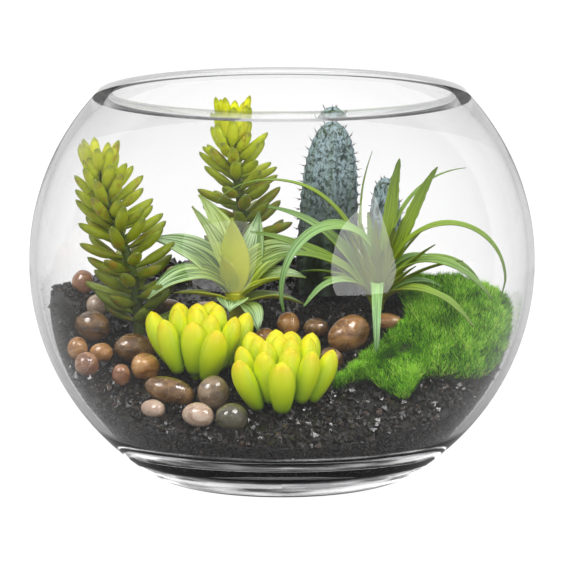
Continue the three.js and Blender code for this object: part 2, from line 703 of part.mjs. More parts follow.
const PAINT = {
  glass: { color: 0xeef4f2, roughness: 0.02, metalness: 0, transparent: true, opacity: 0.3 },
  grit: { color: 0x1b1817, roughness: 0.85, metalness: 0 },
  moss: { color: 0x4f8f1f, roughness: 0.95, metalness: 0 },
  brown: { color: 0x6f4f36, roughness: 0.25, metalness: 0 },
  taupe: { color: 0x94806a, roughness: 0.3, metalness: 0 },
  pale: { color: 0xc4ae9a, roughness: 0.35, metalness: 0 },
  olive: { color: 0x4f4a3a, roughness: 0.25, metalness: 0 },
  orange: { color: 0xb07a45, roughness: 0.3, metalness: 0 },
  rose: { color: 0xa06a55, roughness: 0.3, metalness: 0 },
  tan: { color: 0xa5764c, roughness: 0.3, metalness: 0 },
  stonecrop: { color: 0x8f9a1c, roughness: 0.45, metalness: 0 },
  rosette: { color: 0xbdd400, roughness: 0.4, metalness: 0 },
  cactus: { color: 0x47604f, roughness: 0.7, metalness: 0 },
  star: { color: 0x86b048, roughness: 0.5, metalness: 0 },
  air: { color: 0x7fae3c, roughness: 0.55, metalness: 0 },
};

const terrarium = new THREE.Group();

function place(name, shape, paint) {
  const mesh = new THREE.Mesh(geometryOf(shape), new THREE.MeshStandardMaterial(PAINT[paint]));
  mesh.name = name;
  terrarium.add(mesh);
}

// A plain round hole in the bed for a peg at (x, y).
function stemHole([x, y], pegRadius) {
  const ground = bedHeight(x, y);
  const ends = [vec(x, y, ground - BED.holeDepth), vec(x, y, ground + PEG.reach)];
  return stalk(ends, [pegRadius + PEG.play, pegRadius + PEG.play], PEG.sides);
}

const holes = [
  ...Object.values(STONECROPS).map(({ path, stemRadius }) => stemHole(path[0], stemRadius)),
  ...Object.values(ROSETTES).map(({ at }) => stemHole(at, PEG.radius)),
  ...Object.values(CACTI).map(({ foot }) => stemHole(foot, PEG.radius)),
  stemHole(STAR.at, STAR.stemRadius),
  stemHole(AIR.at, AIR.stemRadius),
];
const pebbleNames = Object.keys(PEBBLES);
const sockets = pebbleNames.map((name, i) => pebbleShape(PEBBLES[name], i, GAP));
const cutBed = mainBody(bed().subtract(wasm.Manifold.union([...holes, ...sockets])));
const mossMat = moss(cutBed);
const ground = wasm.Manifold.union([cutBed, mossMat]).translate([0, 0, GAP]);

// A plant from its joined pieces, kept just clear of the bed and the moss that it rests on.
const plant = (pieces) => mainBody(wasm.Manifold.union(pieces).subtract(ground));

place("glass_bowl", bowl(), "glass");
place("grit_bed", cutBed, "grit");
place("moss_mat", mossMat, "moss");
pebbleNames.forEach((name, i) => place(name, pebbleShape(PEBBLES[name], i, 0), PEBBLES[name].colour));
place("stonecrop_left", plant(stonecrop(STONECROPS.stonecrop_left, 3)), "stonecrop");
place("stonecrop_middle", plant(stonecrop(STONECROPS.stonecrop_middle, 40)), "stonecrop");
Object.entries(ROSETTES).forEach(([name, spec]) => place(name, plant(rosette(spec)), "rosette"));
Object.entries(CACTI).forEach(([name, spec]) => place(name, plant(cactus(spec)), "cactus"));
place("star_plant", plant(starPlant()), "star");
place("air_plant", plant(airPlant()), "air");

export default terrarium;
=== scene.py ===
import math

import bmesh
import bpy
import numpy as np
from mathutils import Matrix, Vector


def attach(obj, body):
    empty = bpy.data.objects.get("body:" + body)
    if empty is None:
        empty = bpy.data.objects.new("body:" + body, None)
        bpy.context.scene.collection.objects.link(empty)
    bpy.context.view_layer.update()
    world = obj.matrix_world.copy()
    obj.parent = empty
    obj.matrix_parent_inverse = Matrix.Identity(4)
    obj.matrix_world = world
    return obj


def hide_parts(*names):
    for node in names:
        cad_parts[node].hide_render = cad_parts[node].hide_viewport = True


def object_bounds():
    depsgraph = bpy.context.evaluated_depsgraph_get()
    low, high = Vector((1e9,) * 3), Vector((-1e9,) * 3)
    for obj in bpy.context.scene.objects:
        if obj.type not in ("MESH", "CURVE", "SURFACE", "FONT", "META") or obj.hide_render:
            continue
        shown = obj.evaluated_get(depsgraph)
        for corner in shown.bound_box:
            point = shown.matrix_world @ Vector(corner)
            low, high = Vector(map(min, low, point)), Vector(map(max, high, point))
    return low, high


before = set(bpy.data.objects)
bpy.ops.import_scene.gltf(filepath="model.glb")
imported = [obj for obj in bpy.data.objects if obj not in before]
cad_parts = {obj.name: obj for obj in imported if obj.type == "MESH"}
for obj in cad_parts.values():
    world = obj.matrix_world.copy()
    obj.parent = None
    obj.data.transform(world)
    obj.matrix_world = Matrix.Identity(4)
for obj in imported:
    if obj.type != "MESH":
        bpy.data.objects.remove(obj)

cad_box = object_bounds()
MM = 0.001
random = np.random.default_rng(11)

# ---- numbers and small helpers

# The bowl, as in the solids: the outside and the inside of its squashed sphere, the bead that thickens its
# wall inwards up to the lip, the end of the wall and the lip's top, the flat foot with a shallow hollow
# under it, and the thick glass floor with the height where the inner wall starts to curve into it.
RADIUS, HALF_HEIGHT, CENTRE_Z = 100.0, 98.2, 85.6
INNER_RADIUS, INNER_HALF_HEIGHT = 97.2, 95.1
BEAD, BEAD_FROM = 2.0, 128.0
WALL_TOP, HEIGHT = 152.9, 154.5
FOOT, PUNT, PUNT_DEPTH = 44.0, 33.0, 1.1
FLOOR_Z, FLOOR_RADIUS, FLOOR_WALL_Z = 13.0, 40.0, 21.0
# The bed in it, with the height of its coarse lumps, and the pegs that the plants stand on.
BED_LEVEL, BED_SLOPE, WALL_GAP, CLODS = 50.0, 0.31, 0.8, 0.9
HOLE_DEPTH, PEG_RADIUS, PEG_REACH = 13.0, 3.0, 6.0
GOLDEN_ANGLE = 137.508


def mix(a, b, t):
    return a + (b - a) * t


def smooth(t):
    t = np.clip(t, 0, 1)
    return t * t * (3 - 2 * t)


def bell(x, y, spread_x, spread_y):
    return np.exp(-((x / spread_x) ** 2) - (y / spread_y) ** 2)


def draw(i, k):
    """A repeatable draw from 0 to 1 for two whole numbers."""
    s = np.sin(i * 12.9898 + k * 78.233) * 43758.5453
    return s - np.floor(s)


def jitter(i, k):
    """A draw from -1 to 1."""
    return 2 * draw(i, k) - 1


def unit(v):
    """Vectors scaled to length 1."""
    return v / np.maximum(np.linalg.norm(v, axis=-1, keepdims=True), 1e-9)


def ripple(x, y, size, seed=0):
    """Soft noise from -1 to 1 on a plane, from a few crossed waves about size wide."""
    u, v = np.asarray(x) / size, np.asarray(y) / size
    total = 0
    for k in range(5):
        turn = 1.3 + 2.4 * k + seed
        wave = 3.1 + 0.9 * k
        total = total + np.sin(wave * (u * math.cos(turn) + v * math.sin(turn)) + 1.7 * k + seed)
    return total / 5


def around(r, a, z):
    """Points at distances and angles round the bowl's middle line, at some heights."""
    return np.stack(np.broadcast_arrays(r * np.cos(a), r * np.sin(a), z), -1)


def add_object(name, data):
    made = bpy.data.objects.new(name, data)
    bpy.context.scene.collection.objects.link(made)
    return made


class Skin:
    """Points, faces and per-point marks gathered into one mesh."""

    def __init__(self):
        self.points, self.faces, self.marks, self.count = [], {3: [], 4: []}, {}, 0

    def add(self, points, faces, **marks):
        for f in faces:
            self.faces[f.shape[1]].append(f + self.count)
        self.points.append(points)
        for name, values in marks.items():
            self.marks.setdefault(name, []).append(np.broadcast_to(values, len(points)))
        self.count += len(points)

    def loft(self, rings, start, end, **marks):
        """A closed skin over rings of points, with a point at both ends."""
        n, m = rings.shape[:2]
        j = np.arange(m)
        k = (j + 1) % m
        row = np.arange(n - 1)[:, None] * m
        quads = np.stack([row + j, row + k, row + m + k, row + m + j], -1).reshape(-1, 4)
        first = np.stack([np.full(m, n * m), k, j], 1)
        last = np.stack([np.full(m, n * m + 1), (n - 1) * m + j, (n - 1) * m + k], 1)
        self.add(np.vstack([rings.reshape(-1, 3), start, end]), [quads, first, last], **marks)

    def marked_loft(self, rings, start, end, by_ring, by_side, **marks):
        """A loft with a mark along it, one value a ring, and a mark across it, one value a side."""
        along = np.append(np.repeat(by_ring, rings.shape[1]), [by_ring[0], by_ring[-1]])
        across = np.append(np.tile(by_side, len(rings)), [0, 0])
        self.loft(rings, start, end, along=along, across=across, **marks)

    def piece(self, name, material, slot, nodes, flat=False):
        """The mesh as a piece that rides on the part's one body and stands for CAD nodes."""
        mesh = bpy.data.meshes.new(name)
        mesh.vertices.add(self.count)
        mesh.vertices.foreach_set("co", (np.concatenate(self.points) * MM).astype(np.float32).ravel())
        faces = [f for group in self.faces.values() for f in group]
        corners = np.concatenate([f.ravel() for f in faces]).astype(np.int32)
        sizes = np.concatenate([np.full(len(f), f.shape[1]) for f in faces])
        starts = np.concatenate([[0], np.cumsum(sizes)[:-1]]).astype(np.int32)
        mesh.loops.add(len(corners))
        mesh.polygons.add(len(sizes))
        mesh.polygons.foreach_set("loop_start", starts)
        mesh.polygons.foreach_set("vertices", corners)
        mesh.update(calc_edges=True)
        mesh.polygons.foreach_set("use_smooth", np.full(len(sizes), not flat))
        for mark, values in self.marks.items():
            attribute = mesh.attributes.new(mark, "FLOAT", "POINT")
            attribute.data.foreach_set("value", np.concatenate(values).astype(np.float32))
        mesh.materials.append(material)
        piece = add_object(name, mesh)
        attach(piece, "root")
        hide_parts(*nodes)
        return piece


def smooth_path(points, closed=False, per_span=16):
    """A centripetal Catmull-Rom curve through points."""
    p = np.asarray(points, float)
    if closed:
        p = np.vstack([p[-1], p, p[:2]])
    else:
        p = np.vstack([2 * p[0] - p[1], p, 2 * p[-1] - p[-2]])
    knots = np.append(0, np.cumsum(np.linalg.norm(np.diff(p, axis=0), axis=1) ** 0.5))
    path = []
    for i in range(1, len(p) - 2):
        k0, k1, k2, k3 = knots[i - 1 : i + 3]
        t = np.linspace(k1, k2, per_span, endpoint=False)[:, None]
        a = ((k1 - t) * p[i - 1] + (t - k0) * p[i]) / (k1 - k0)
        b = ((k2 - t) * p[i] + (t - k1) * p[i + 1]) / (k2 - k1)
        c = ((k3 - t) * p[i + 1] + (t - k2) * p[i + 2]) / (k3 - k2)
        ab = ((k2 - t) * a + (t - k0) * b) / (k2 - k0)
        bc = ((k3 - t) * b + (t - k1) * c) / (k3 - k1)
        path.append(((k2 - t) * ab + (t - k1) * bc) / (k2 - k1))
    return np.vstack(path if closed else [*path, p[-2]])


def path_point(path, share):
    """The point at a share of a path's length."""
    lengths = np.append(0, np.cumsum(np.linalg.norm(np.diff(path, axis=0), axis=1)))
    return np.array([np.interp(share * lengths[-1], lengths, path[:, axis]) for axis in range(3)])


def rings_round(centres, directions, radii, sides):
    """Rings of points round centres, across directions."""
    directions = unit(np.asarray(directions, float))
    across = np.cross([0, 0, 1.0], directions)
    level = np.linalg.norm(across, axis=1) < 0.02
    across[level] = [1, 0, 0]
    across = unit(across)
    up = unit(np.cross(directions, across))
    a = np.arange(sides) * 2 * np.pi / sides
    spread = across[:, None] * np.cos(a)[None, :, None] + up[:, None] * np.sin(a)[None, :, None]
    return np.asarray(centres)[:, None] + spread * np.asarray(radii)[:, None, None]


def add_stalk(skin, path, radii, sides, **marks):
    """A round stalk along a path."""
    skin.loft(rings_round(path, np.gradient(path, axis=0), radii, sides), path[0], path[-1], **marks)


# ---- shaders


def linear(code):
    """A colour code such as "8fa01c" as linear red, green and blue with full opacity."""
    channels = [int(code[i : i + 2], 16) / 255 for i in (0, 2, 4)]
    return (*[c / 12.92 if c <= 0.04045 else ((c + 0.055) / 1.055) ** 2.4 for c in channels], 1)


class Shader:
    """A node material that is built from the shader's sockets backwards."""

    def __init__(self, name, **settings):
        self.material = bpy.data.materials.new(name)
        self.material.use_nodes = True
        self.tree = self.material.node_tree
        self.main = self.tree.nodes["Principled BSDF"]
        self.output = self.tree.nodes["Material Output"]
        self.set(**settings)

    def node(self, kind, inputs=None, **settings):
        made = self.tree.nodes.new("ShaderNode" + kind)
        for name, value in settings.items():
            setattr(made, name, value)
        for name, value in (inputs or {}).items():
            self.feed(made.inputs[name], value)
        return made

    def feed(self, socket, value):
        if isinstance(value, bpy.types.NodeSocket):
            self.tree.links.new(value, socket)
        else:
            socket.default_value = value

    def set(self, **sockets):
        for name, value in sockets.items():
            self.feed(self.main.inputs[name.replace("_", " ")], value)

    def mark(self, name):
        return self.node("Attribute", attribute_name=name).outputs["Fac"]

    def math(self, operation, a, b=0.0):
        return self.node("Math", {0: a, 1: b}, operation=operation).outputs[0]

    def times(self, a, b):
        return self.math("MULTIPLY", a, b)

    def edge(self, power):
        """Rises from 0 on a leaf's middle line to 1 along its edges."""
        return self.math("POWER", self.math("ABSOLUTE", self.mark("across")), power)

    def ramp(self, factor, *stops):
        made = self.node("ValToRGB", {0: factor})
        elements = made.color_ramp.elements
        for i, (place, colour) in enumerate(stops):
            element = elements[i] if i < 2 else elements.new(place)
            element.position = place
            element.color = linear(colour) if isinstance(colour, str) else (colour,) * 3 + (1,)
        return made.outputs["Color"]

    def blend(self, factor, a, b, how="MIX"):
        return self.node("Mix", {0: factor, 6: a, 7: b}, data_type="RGBA", blend_type=how).outputs[2]

    def both(self, a, b):
        """Where two masks show together."""
        return self.blend(1.0, a, b, "MULTIPLY")

    def over(self, below, code, mask, strength=1.0):
        """A colour laid over another where a mask shows."""
        return self.blend(self.times(mask, strength), below, linear(code))

    def streaks(self, across, along, tone=0.0):
        """Coordinates on a leaf for a pattern that runs lengthwise, from how much it varies each way."""
        x, y = self.times(self.mark("across"), across), self.times(self.mark("along"), along)
        return self.node("CombineXYZ", {0: x, 1: y, 2: tone}).outputs[0]

    def noise(self, scale, detail=3.0, rough=0.5, stretch=(1, 1, 1), warp=0.0, vector=None):
        if vector is None:
            place = self.node("TexCoord").outputs["Object"]
            vector = self.node("Mapping", {"Vector": place, "Scale": stretch}).outputs[0]
        inputs = {"Vector": vector, "Scale": scale, "Detail": detail, "Roughness": rough, "Distortion": warp}
        return self.node("TexNoise", inputs).outputs["Fac"]

    def bump(self, height, strength, distance):
        inputs = {"Height": height, "Strength": strength, "Distance": distance}
        self.set(Normal=self.node("Bump", inputs).outputs[0])


def glass_shader(name, alpha):
    """Clear blown glass, a little greyer the deeper it is. Light for the contents passes straight in."""
    s = Shader(name, Base_Color=(1, 1, 1, 1), Roughness=0.0, IOR=1.48, Transmission_Weight=1.0, Alpha=alpha)
    rays = s.node("LightPath")
    clear = s.node("BsdfTransparent", {"Color": (0.96, 0.965, 0.97, 1)})
    for kind in ("Is Diffuse Ray", "Is Shadow Ray"):
        inner = s.output.inputs["Surface"].links[0].from_socket
        swap = s.node("MixShader", {0: rays.outputs[kind], 1: inner, 2: clear.outputs[0]})
        s.tree.links.new(swap.outputs[0], s.output.inputs["Surface"])
    tint = s.node("VolumeAbsorption", {"Color": (0.55, 0.545, 0.565, 1), "Density": 12.0})
    s.tree.links.new(tint.outputs[0], s.output.inputs["Volume"])
    return s.material


def grit_shader():
    s = Shader("black_grit", Specular_IOR_Level=0.5, Coat_Weight=0.35, Coat_Roughness=0.1)
    tone = s.mark("tone")
    s.set(
        Base_Color=s.ramp(tone, (0, "060302"), (0.6, "100a07"), (0.9, "241812"), (1, "4e3c30")),
        Roughness=s.ramp(tone, (0, 0.5), (0.6, 0.3), (1, 0.18)),
    )
    return s.material


def plant_shader(name, roughness, specular, depth, radius, scale):
    """A shader for plant tissue, which light goes a little way into."""
    s = Shader(name, Roughness=roughness, Specular_IOR_Level=specular, Subsurface_Weight=depth)
    s.set(Subsurface_Radius=radius, Subsurface_Scale=scale)
    return s


def moss_shader():
    s = plant_shader("moss_fuzz", 0.7, 0.25, 0.15, (0.4, 1.0, 0.1), 0.002)
    fibre = s.ramp(s.mark("tone"), (0, "3a6a0c"), (0.35, "6cb418"), (0.7, "a4e430"), (1, "dcfc70"))
    s.set(Base_Color=s.blend(s.ramp(s.mark("along"), (0, 0.0), (0.4, 1.0)), linear("1c3a0a"), fibre))
    return s.material


def peat_shader():
    s = Shader("moss_backing", Roughness=0.9)
    grains = s.noise(900, detail=4)
    s.set(Base_Color=s.ramp(grains, (0.3, "10130a"), (0.55, "24350f"), (0.75, "3d5a14")))
    s.bump(grains, 0.6, 0.001)
    return s.material


def pebble_shader(name, dark, middle, light, vein):
    """A water-worn stone, polished and damp, with soft bands, specks and a few veins."""
    s = Shader(name, Coat_Weight=0.8, Coat_Roughness=0.05, Specular_IOR_Level=0.5)
    bands = s.noise(95, detail=3, warp=1.2, stretch=(1, 1, 2.2))
    specks = s.noise(1400, detail=2)
    colour = s.ramp(bands, (0.28, dark), (0.5, middle), (0.72, light))
    veins = s.ramp(s.noise(60, detail=5, warp=2.0), (0.485, 0.0), (0.5, 1.0), (0.515, 0.0))
    colour = s.over(colour, vein, veins, 0.45)
    colour = s.blend(0.35, colour, s.ramp(specks, (0.35, 0.35), (0.6, 1.0)), "MULTIPLY")
    s.set(Base_Color=colour, Roughness=s.ramp(bands, (0.2, 0.16), (0.8, 0.3)))
    s.bump(s.noise(420, detail=4), 0.12, 0.0006)
    return s.material


def stonecrop_shader():
    """A waxy leaf, yellower the higher it grows, with rusty blotches and a green root, rim and tip."""
    s = plant_shader("stonecrop_leaf", 0.36, 0.5, 0.22, (1.0, 0.8, 0.1), 0.0025)
    along = s.mark("along")
    by_height = [(0, "6e801a"), (0.3, "8e9c12"), (0.6, "b2c008"), (0.85, "c8d406"), (1, "dadc10")]
    colour = s.ramp(s.mark("rank"), *by_height)
    blotches = s.ramp(s.noise(240, detail=3, warp=0.8), (0.5, 0.0), (0.62, 1.0))
    colour = s.over(colour, "a8761a", s.both(s.ramp(s.mark("tone"), (0.35, 0.0), (1.0, 0.75)), blotches))
    broken = s.ramp(s.noise(500, detail=2), (0.35, 0.2), (0.65, 1.0))
    colour = s.over(colour, "5a6e1c", s.both(broken, s.edge(5.0)), 0.4)
    colour = s.over(colour, "5a6a1c", s.ramp(along, (0.84, 0.0), (0.99, 0.75)))
    colour = s.over(colour, "5d7a16", s.ramp(along, (0.0, 0.75), (0.25, 0.0)))
    s.set(Base_Color=colour)
    s.bump(s.noise(900, detail=3), 0.15, 0.0004)
    return s.material


def stem_shader():
    s = Shader("plant_stem", Roughness=0.5)
    s.set(Base_Color=s.ramp(s.noise(300, detail=4, stretch=(1, 1, 0.3)), (0.3, "34451a"), (0.7, "5c6c26")))
    s.bump(s.noise(700, detail=3), 0.3, 0.0005)
    return s.material


def rosette_shader():
    """A plump yellow-green leaf with faint lengthwise lines, greener edges and an orange tip."""
    s = plant_shader("rosette_leaf", 0.34, 0.45, 0.3, (1.0, 0.9, 0.1), 0.003)
    along = s.mark("along")
    wave = {"Vector": s.streaks(1.6, 0.25), "Scale": 3.4, "Distortion": 1.5, "Detail": 2.0}
    lines = s.node("TexWave", wave, wave_type="BANDS").outputs["Fac"]
    colour = s.ramp(along, (0, "8cb404"), (0.3, "c4de02"), (0.65, "dcea02"), (0.9, "e6de08"))
    colour = s.over(colour, "8fc000", lines, 0.16)
    patchy = s.ramp(s.noise(260), (0.38, 0.1), (0.62, 1.0))
    colour = s.over(colour, "e0a80c", s.both(s.ramp(along, (0.82, 0.0), (1.0, 1.0)), patchy), 0.6)
    colour = s.over(colour, "7fae04", s.edge(6.0), 0.35)
    s.set(Base_Color=colour)
    s.bump(lines, 0.06, 0.0005)
    return s.material


def cactus_shader():
    """A dark skin with a blue-grey frost towards the top and paler ridges."""
    s = Shader("cactus_skin", Roughness=0.62)
    along = s.mark("along")
    skin = [(0.0, "1c260a"), (0.3, "1e2c12"), (0.6, "20362c"), (0.9, "1e342c"), (0.94, "2c3a0a")]
    frost = s.noise(620, detail=6, rough=0.7, warp=0.6, stretch=(1, 1, 0.55))
    frosted = s.both(s.ramp(frost, (0.43, 0.0), (0.56, 1.0)), s.ramp(along, (0.3, 0.05), (0.7, 1.0)))
    colour = s.over(s.ramp(along, *skin), "b0c8d0", frosted, 0.8)
    colour = s.over(colour, "7f9886", s.math("POWER", s.mark("across"), 4.0), 0.4)
    s.set(Base_Color=colour)
    s.bump(frost, 0.7, 0.0012)
    return s.material


def spine_shader():
    s = Shader("cactus_spine", Roughness=0.5)
    s.set(Base_Color=s.ramp(s.mark("along"), (0.0, "2b3026"), (1.0, "0e1210")))
    return s.material


def striped_shader():
    """A thin pale leaf with dark lengthwise stripes above and a plain olive underside."""
    s = plant_shader("star_leaf", 0.42, 0.4, 0.12, (0.6, 1.0, 0.2), 0.0015)
    along, tone = s.mark("along"), s.mark("tone")
    pale = [(0.0, "acb81a"), (0.3, "a8be4c"), (0.6, "b8d494"), (0.85, "c4e0b0"), (1.0, "6a7c3c")]
    broad = s.noise(1.0, detail=1.5, vector=s.streaks(4.6, 0.9, tone))
    dark = s.ramp(broad, (0.42, 0.0), (0.48, 1.0), (0.51, 1.0), (0.58, 0.0))
    top = s.over(s.ramp(along, *pale), "2e5812", dark)
    fine = s.noise(1.0, detail=0.0, vector=s.streaks(23.0, 0.9, tone))
    top = s.over(top, "6a9430", s.ramp(fine, (0.45, 0.0), (0.7, 1.0)), 0.35)
    under = s.ramp(s.noise(160, detail=2), (0.3, "8a9a12"), (0.7, "b8b418"))
    colour = s.blend(s.mark("upper"), under, top)
    young = s.ramp(along, (0.0, "cccc1c"), (0.6, "c8ce3c"), (1.0, "a0ac36"))
    s.set(Base_Color=s.blend(s.mark("yellow"), colour, young))
    s.bump(broad, 0.25, 0.0006)
    return s.material


def air_shader():
    """A strap leaf, yellow-green or a cooler green above, with fine lines, and olive underneath."""
    s = plant_shader("air_leaf", 0.48, 0.35, 0.12, (0.6, 1.0, 0.2), 0.0015)
    along, tone = s.mark("along"), s.mark("tone")
    yellowish = [(0.0, "b8c018"), (0.22, "a4b81c"), (0.55, "92ac28"), (0.9, "768e28"), (1.0, "606c26")]
    warm = s.ramp(along, *yellowish)
    cool = s.ramp(along, (0.0, "a0c034"), (0.25, "90bc54"), (0.7, "a4cc90"), (1.0, "6c9450"))
    lines = s.noise(1.0, detail=2.0, vector=s.streaks(5.0, 2.0, tone))
    top = s.over(s.blend(tone, warm, cool), "3a6010", s.ramp(lines, (0.4, 0.0), (0.6, 1.0)), 0.6)
    under = s.ramp(along, (0.0, "989c10"), (0.5, "788416"), (1.0, "5a661e"))
    s.set(Base_Color=s.blend(s.mark("upper"), under, top))
    s.bump(lines, 0.2, 0.0004)
    return s.material


# ---- bowl

BOWL_SIDES, SHOULDER, SHOULDER_REACH = 224, 3.0, 5.5
LIP_DEPTH, LIP_ALPHA = 1.2, 0.25
SLACK = 0.02  # how far the glass stays inside the solids' box


def ellipse_radius(z, radius, half_height):
    return radius * np.sqrt(np.clip(1 - ((z - CENTRE_Z) / half_height) ** 2, 0, None))


def inner_radius(z):
    """The wall's inside radius at a height, down to where the floor starts."""
    thicker = BEAD * (np.clip(z - BEAD_FROM, 0, None) / (WALL_TOP - BEAD_FROM)) ** 2
    return ellipse_radius(z, INNER_RADIUS, INNER_HALF_HEIGHT) - thicker


def bezier(a, b, c, count):
    """Points on the curve from a to c that b pulls."""
    t = np.linspace(0, 1, count)[:, None]
    return (1 - t) ** 2 * np.array(a) + 2 * t * (1 - t) * np.array(b) + t**2 * np.array(c)


def wall_curve(low, high, radius, half_height, count=72):
    """Points up the squashed sphere from one height to another."""
    ends = [math.asin((z - CENTRE_Z) / half_height) for z in (low, high)]
    z = CENTRE_Z + half_height * np.sin(np.linspace(*ends, count))
    return np.stack([ellipse_radius(z, radius, half_height), z], 1)


def floor_curve(count):
    wall, corner = inner_radius(FLOOR_WALL_Z), inner_radius(FLOOR_Z) - 1
    return bezier([wall, FLOOR_WALL_Z], [corner, FLOOR_Z], [FLOOR_RADIUS, FLOOR_Z], count)


def bowl_profile():
    """The glass in section, from the middle of its underside round the lip to the middle of its floor."""
    shoulder = [ellipse_radius(SHOULDER, RADIUS, HALF_HEIGHT), SHOULDER]
    corner = bezier([FOOT, 0], [FOOT + SHOULDER_REACH, 0], shoulder, 10)
    outer = wall_curve(SHOULDER, WALL_TOP, RADIUS, HALF_HEIGHT)
    outer[:, 0] = np.minimum(outer[:, 0], cad_box[1][0] / MM - SLACK / 2)
    inner = wall_curve(FLOOR_WALL_Z, WALL_TOP, INNER_RADIUS, INNER_HALF_HEIGHT)[::-1]
    inner[:, 0] = inner_radius(inner[:, 1])
    turn = np.linspace(0, math.pi, 15)[1:-1]
    middle, half = (outer[-1, 0] + inner[0, 0]) / 2, (outer[-1, 0] - inner[0, 0]) / 2
    lip = np.stack([middle + half * np.cos(turn), WALL_TOP + (HEIGHT - WALL_TOP - SLACK) * np.sin(turn)], 1)
    punt = bezier([PUNT - 6, PUNT_DEPTH], [PUNT - 2, PUNT_DEPTH], [PUNT + 1, 0], 8)
    floor = np.stack([np.linspace(FLOOR_RADIUS, 2, 8)[1:], np.full(7, FLOOR_Z)], 1)
    under = np.stack([np.linspace(4, PUNT - 6, 5)[:-1], np.full(4, PUNT_DEPTH)], 1)
    return np.vstack([under, punt, corner, outer[1:], lip, inner, floor_curve(14)[1:], floor])


def build_bowl():
    """The glass, with a lip that lets much of the light straight through and so stays pale."""
    profile = bowl_profile()
    a = np.arange(BOWL_SIDES) * 2 * np.pi / BOWL_SIDES
    skin = Skin()
    skin.loft(around(profile[:, 0, None], a, profile[:, 1, None]), [0, 0, PUNT_DEPTH], [0, 0, FLOOR_Z])
    bowl = skin.piece("glass_bowl_fine", glass_shader("clear_glass", 1.0), "glass", ["glass_bowl"])
    bowl.data.materials.append(glass_shader("clear_glass_lip", LIP_ALPHA))
    for face in bowl.data.polygons:
        face.material_index = int(face.center.z > (WALL_TOP - LIP_DEPTH) * MM)


# ---- grit bed


# Each heap on the bed: its height, its middle and how far it spreads.
BED_HEAPS = ((11, (68, 16), (36, 30)), (7, (-80, 38), (20, 22)), (15, (-92, 12), (12, 20)))
BED_FLOOR, CORE_SINK = FLOOR_Z + WALL_GAP, 0.5
TOP_CHIPS, WALL_CHIPS = 9500, 14500


def bed_height(x, y):
    """The bed's smooth top: a climb that eases off past a crest, a heap at the right and two at the left."""
    crest = 34 + 28 * smooth((40 - x) / 45)
    beyond = np.maximum(0, y - crest)
    z = BED_LEVEL + BED_SLOPE * (np.minimum(y, crest) + 9.6 * (1 - np.exp(-beyond / 16)))
    for height, (heap_x, heap_y), spread in BED_HEAPS:
        z = z + height * bell(x - heap_x, y - heap_y, *spread)
    return z + 0.6 * np.sin(x * 0.31 + 1.1) * np.cos(y * 0.27 - 0.4)


def inner_wall(z):
    """The bowl's inside radius at a height, its curved floor included."""
    curve = floor_curve(24)[::-1]
    low = np.interp(z, curve[:, 1], curve[:, 0])
    return np.where(z < FLOOR_WALL_Z, low, inner_radius(z))


def bed_rim(a):
    """How far from the middle the bed's top meets the wall, closed in on step by step."""
    r = np.full(len(a), 80.0)
    for _ in range(40):
        r = inner_wall(bed_height(r * np.cos(a), r * np.sin(a))) - WALL_GAP
    return r


def clods(x, y):
    """The solid bed's coarse lumps, one at each crossing of its rings and sides, eased between them."""
    rings, sides = (0.22, 0.43, 0.63, 0.82), 36
    a = np.arctan2(y, x) % (2 * np.pi)
    share = np.hypot(x, y) / np.interp(a, RIM_ANGLES, RIM_RADII)
    side = a / (2 * np.pi) * sides
    low = np.floor(side)
    knots = (0, *rings, 1)
    total = 0
    for inner, ring, outer in zip(knots, rings, knots[2:]):
        at = [jitter(np.round(100 * ring), np.floor(np.pi * (j % sides) + 0.5)) for j in (low, low + 1)]
        away = np.where(share < ring, (ring - share) / (ring - inner), (share - ring) / (outer - ring))
        total = total + mix(*at, side - low) * np.clip(1 - away, 0, 1)
    return CLODS * total


def bed_top(x, y):
    return bed_height(x, y) + clods(x, y)


RIM_ANGLES = np.linspace(0, 2 * np.pi, 181)
RIM_RADII = bed_rim(RIM_ANGLES)


def chips(skin, centres, sizes):
    """Broken eight-sided chips, each turned and stretched its own way."""
    n = len(centres)
    corners = np.vstack([np.eye(3), -np.eye(3)])[[0, 3, 1, 4, 2, 5]]
    faces = np.array([[0, 2, 4], [2, 1, 4], [1, 3, 4], [3, 0, 4], [2, 0, 5], [1, 2, 5], [3, 1, 5], [0, 3, 5]])
    first = unit(random.normal(size=(n, 3)))
    second = unit(np.cross(first, random.normal(size=(n, 3))))
    axes = np.stack([first, second, np.cross(first, second)], 1)
    shape = corners[None] * random.uniform(0.55, 1.25, (n, 6, 1)) * sizes[:, None, None]
    points = centres[:, None] + np.einsum("nci,nij->ncj", shape, axes)
    index = faces[None] + 6 * np.arange(n)[:, None, None]
    skin.add(points.reshape(-1, 3), [index.reshape(-1, 3)], tone=np.repeat(random.random(n) ** 1.6, 6))


